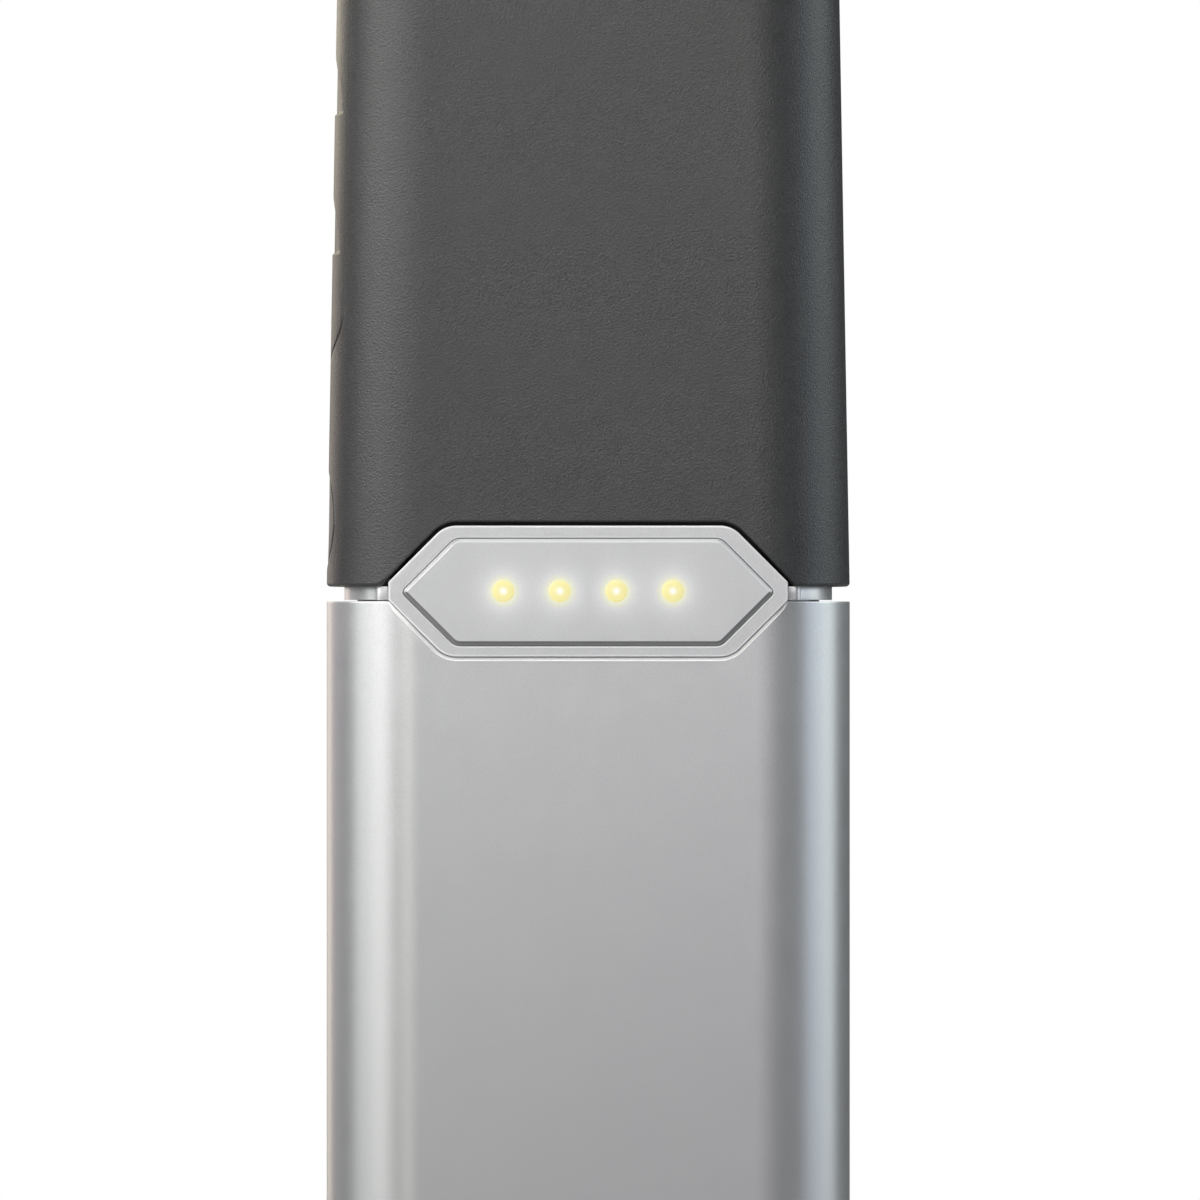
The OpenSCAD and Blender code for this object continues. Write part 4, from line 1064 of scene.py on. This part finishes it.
def build_indicator():
    width, height = bezel_high[0] - bezel_low[0], bezel_high[2] - bezel_low[2]
    panel_w, panel_h = panel_high[0] - panel_low[0], panel_high[2] - panel_low[2]
    face, back, front = bezel_low[1], bezel_high[1], panel_low[1]

    def bezel_path(inset=0.0):
        return hexagon(width, height, *BEZEL_SHAPE, inset)

    def panel_path(inset=0.0):
        return hexagon(panel_w - PANEL_DROP, panel_h - 2 * PANEL_DROP, *PANEL_SHAPE, inset)

    def ring(inset, y, tilt, top=0.0, bottom=0.0):
        """A loop round the bezel, its normals and its painted light on the upper and lower sides,
        a painted highlight where positive and painted shade where negative: tilt is 0 facing the
        front, 90 facing out."""
        path, upper = bezel_path(inset), upper_share(bezel_path())
        return facing_front(path, y), tilted(path, tilt), bottom + (top - bottom) * upper

    def seat(inset, y, tilt, top=0.0, bottom=0.0, top_inset=None):
        """The same round the panel, with its own inset and painted light for the upper sides."""
        path, upper = panel_path(inset), upper_share(panel_path())
        if top_inset is not None:
            path = path + (panel_path(top_inset) - path) * upper[:, None]
        normals = tilted(path, tilt)
        return facing_front(path - [0, PANEL_DROP], y), normals, bottom + (top - bottom) * upper

    # Painted highlight on the lower side of the bezel's outer edge and on the upper side of its
    # opening's edge.
    rim = [ring(0, back, 90), ring(0, face + 0.09, 90), ring(0.002, face + 0.05, 45, bottom=1.0),
           ring(0.012, face + 0.02, 12, bottom=1.0), ring(0.09, face + 0.001, 6, bottom=1.0),
           ring(BEZEL_EDGE, face, 0), ring(0.3, face, 0)]
    hole = [seat(-0.095, face, 0), seat(-0.08, face + 0.001, -10, top=1),
            seat(-0.04, face + 0.008, -22, top=1), seat(-0.025, face + 0.022, -50),
            seat(-0.02, face + 0.03, -90), seat(-0.02, back, -90)]
    points, faces = loft([r[0] for r in rim])
    more, more_faces = loft([r[0] for r in hole])
    base = len(points)
    faces += shifted(more_faces, base)
    n, m = len(rim[0][0]), len(hole[0][0])
    faces += bridge(rim[-1][0], hole[0][0], base - n, base)
    faces += [f[::-1] for f in bridge(rim[0][0], hole[-1][0], 0, base + len(more) - m)]
    make("indicator_bezel_ring", np.concatenate([points, more]), faces, "body", "indicator_bezel",
         "bezel_silver", normals=np.concatenate([r[1] for r in rim + hole]),
         edge=np.concatenate([r[2] for r in rim + hole]))

    slope = math.degrees(math.atan2(face - front - 0.02, PANEL_BEVEL - 0.04))
    rows = [seat(inset, front, 0) for inset in (1.6, 1.0, 0.6, 0.42)]
    # Painted highlight on the upper sides of the panel's bevel and painted shade on its lower
    # sides.
    rows += [seat(PANEL_BEVEL + 0.02, front, 0, top_inset=0.22),
             seat(PANEL_BEVEL + 0.005, front + 0.003, slope * 0.3, 0.3, -0.4, top_inset=0.19),
             seat(PANEL_BEVEL - 0.01, front + 0.012, slope * 0.8, 0.4, -0.66, top_inset=0.17),
             seat(PANEL_BEVEL - 0.02, front + 0.02, slope, 0.3, -0.70, top_inset=0.15),
             seat(0.10, face - 0.08, slope, 0.15, -0.64, top_inset=0.08),
             seat(0.03, face - 0.01, slope, 0.0, -0.35, top_inset=0.03),
             seat(0.012, face + 0.02, 80), seat(0.006, face + 0.05, 90), seat(0.006, back, 90)]
    points, faces = loft([r[0] for r in rows], cap_first=True, cap_last=True)
    make("indicator_panel_plate", points, faces, "body", "indicator_panel", "panel_silver",
         normals=np.concatenate([r[1] for r in rows]), edge=np.concatenate([r[2] for r in rows]))

    pipes, pipe_faces = [], []
    turn = np.linspace(0, 2 * math.pi, 48, endpoint=False)
    for k in (-1.5, -0.5, 0.5, 1.5):
        tips = []
        for r, y in (*LIGHT_DOME, (LIGHT_DOME[-1][0], pipe_high[1] - front)):
            circle = np.stack([k * LIGHT_PITCH + r * np.cos(turn), r * np.sin(turn)], 1)
            tips.append(facing_front(circle, front + y))
        points, faces = loft(tips, cap_first=True, cap_last=True)
        pipe_faces += shifted(faces, len(pipes) * len(points))
        pipes.append(points)
    make("indicator_light_tips", np.concatenate(pipes), pipe_faces, "body", "light_pipes",
         "light_pipe", sharp=70)


build_indicator()


# ---------- Softened copies of the other outer nodes ----------

SOFT_EDGES = {
    # node: body, edge width mm
    "mid_frame": ("body", 0.06), "foot_pad": ("body", 0.12), "base_cap": ("body", 0.25),
    "base_screws": ("body", 0.08), "port_cover": ("cover", 0.12), "nose_ring": ("body", 0.15),
    "collet_nut": ("nut", 0.10), "collet": ("spindle", 0.08), "eraser": ("eraser", 0.10),
}
for node_name, (body, width) in SOFT_EDGES.items():
    refined(node_name, body, slot_of[node_name], width)


# ---------- Floor, lights and camera ----------

WHITE = (1, 1, 1, 1)
FLOOR_RADII = (60, 150, 300, 480)
FLOOR_GREYS = (0.44, 0.44, 0.44, 1), (0.46, 0.46, 0.46, 1)
# Emission of the floor as the camera sees it, which lights nothing.
FLOOR_GLOW = 0.42


def build_floor():
    turn = np.linspace(0, 2 * math.pi, 96, endpoint=False)
    rings = [np.stack([r * np.cos(turn), r * np.sin(turn), np.zeros(96)], 1) for r in FLOOR_RADII]
    points, faces = loft(rings, cap_first=True)
    mesh = bpy.data.meshes.new("floor")
    mesh.from_pydata((points * MM).tolist(), [], [list(map(int, f)) for f in faces])
    bm = bmesh.new()
    bm.from_mesh(mesh)
    bmesh.ops.recalc_face_normals(bm, faces=bm.faces)
    bm.to_mesh(mesh)
    bm.free()
    add_object("floor", mesh)
    material = bpy.data.materials.new("floor_finish")
    material.use_nodes = True
    tree = material.node_tree
    shader = tree.nodes["Principled BSDF"]
    coords = new_node(tree, "ShaderNodeTexCoord").outputs["Object"]
    spread = noise(tree, coords, 40, 2, 0.5)
    link(tree, mix_colour(tree, spread, *FLOOR_GREYS), shader.inputs["Base Color"])
    set_inputs(shader, {"Roughness": 0.8, "Specular IOR Level": 0.1, "Emission Color": WHITE})
    seen = new_node(tree, "ShaderNodeLightPath").outputs["Is Camera Ray"]
    link(tree, calc(tree, "MULTIPLY", seen, FLOOR_GLOW), shader.inputs["Emission Strength"])
    mesh.materials.append(material)


build_floor()

AIM = Vector((0, 0, JOINT_Z * MM))
# Elevation, distance m and height m of the tall boxes far off and of the small ones near by.
TALL, NEAR = (5, 0.6, 0.75), (24, 0.18, 0.08)
LIGHTS = {
    # name: azimuth from the camera's side towards +X, set, width m, watts, colour
    "rim_left": (-148, TALL, 0.26, 0.83, (1, 0.87, 0.77)),
    "side_left": (-74, TALL, 0.26, 0.83, (0.93, 1, 0.98)),
    "key_left": (-48, TALL, 0.26, 1.24, (1, 0.98, 0.96)),
    "front_left": (-14, TALL, 0.13, 0.63, (0.98, 1, 0.88)),
    "front_right": (7, TALL, 0.2, 0.25, (0.8, 0.74, 1)),
    "side_right": (74, TALL, 0.26, 0.78, (0.76, 0.87, 1)),
    "rim_right": (98, TALL, 0.26, 0.99, (0.9, 0.99, 1)),
    "far_left": (-120, TALL, 0.2, 0.16, (0.95, 0.86, 1)),
    "near_rim": (-145, NEAR, 0.1, 0.043, (1, 0.93, 0.65)),
    "near_side": (-70, NEAR, 0.08, 0.076, (1, 0.96, 0.92)),
    "near_key": (-33, NEAR, 0.1, 0.081, (0.94, 0.97, 1)),
    "near_front": (10, NEAR, 0.08, 0.056, (0.99, 1, 0.9)),
    "near_right": (105, NEAR, 0.08, 0.026, (0.9, 1, 0.96)),
    "overhead": (0, (89, 0.6, 0.5), 0.5, 1.5, (1, 1, 1)),
    "high_right": (103, (45, 0.6, 0.3), 0.3, 0.32, (0.95, 0.98, 1)),
}
AMBIENT = 0.09


def softbox(name, azimuth, stand, width, watts, colour):
    """An area light that faces the joint."""
    elevation, distance, height = stand
    a, e = math.radians(azimuth), math.radians(elevation)
    way = Vector((math.sin(a) * math.cos(e), -math.cos(a) * math.cos(e), math.sin(e)))
    data = bpy.data.lights.new(name, "AREA")
    data.shape = "RECTANGLE"
    data.size, data.size_y = width, height
    data.energy = watts
    data.color = colour
    lamp = add_object(name, data)
    lamp.location = AIM + way * distance
    lamp.rotation_euler = way.to_track_quat("Z", "Y").to_euler()
    lamp.visible_camera = False


for light_name, settings in LIGHTS.items():
    softbox(light_name, *settings)

def build_world():
    """White to the camera, and a weak grey to everything else."""
    world = bpy.data.worlds.new("studio")
    scene.world = world
    world.use_nodes = True
    tree = world.node_tree
    background = tree.nodes["Background"]
    seen = new_node(tree, "ShaderNodeBackground")
    for source, strength in ((seen, 1.0), (background, AMBIENT)):
        set_inputs(source, {"Color": WHITE, "Strength": strength})
    path_node = new_node(tree, "ShaderNodeLightPath")
    blend = new_node(tree, "ShaderNodeMixShader")
    link(tree, path_node.outputs["Is Camera Ray"], blend.inputs[0])
    link(tree, background.outputs[0], blend.inputs[1])
    link(tree, seen.outputs[0], blend.inputs[2])
    link(tree, blend.outputs[0], tree.nodes["World Output"].inputs["Surface"])
    scene.view_settings.view_transform = "Standard"


build_world()

# Width in view at the plane where the corners begin, distance from that plane in metres, and
# where the camera stands to the side and below the joint, in millimetres.
FRAME_WIDTH = 64.24 * MM
CAMERA_DISTANCE = 0.6
CAMERA_SIDE, CAMERA_BELOW = 0.63, 0.32
SENSOR_WIDTH = 36


def build_camera():
    data = bpy.data.cameras.new("camera")
    camera = add_object("camera", data)
    data.sensor_width = SENSOR_WIDTH
    data.lens = SENSOR_WIDTH * CAMERA_DISTANCE / FRAME_WIDTH
    data.clip_start, data.clip_end = 0.01, 10
    camera.location = (CAMERA_SIDE * MM, -(BODY_D / 2 - CORNER_R) * MM - CAMERA_DISTANCE,
                       (JOINT_Z - CAMERA_BELOW) * MM)
    camera.rotation_euler = (math.pi / 2, 0, 0)
    scene.camera = camera


build_camera()
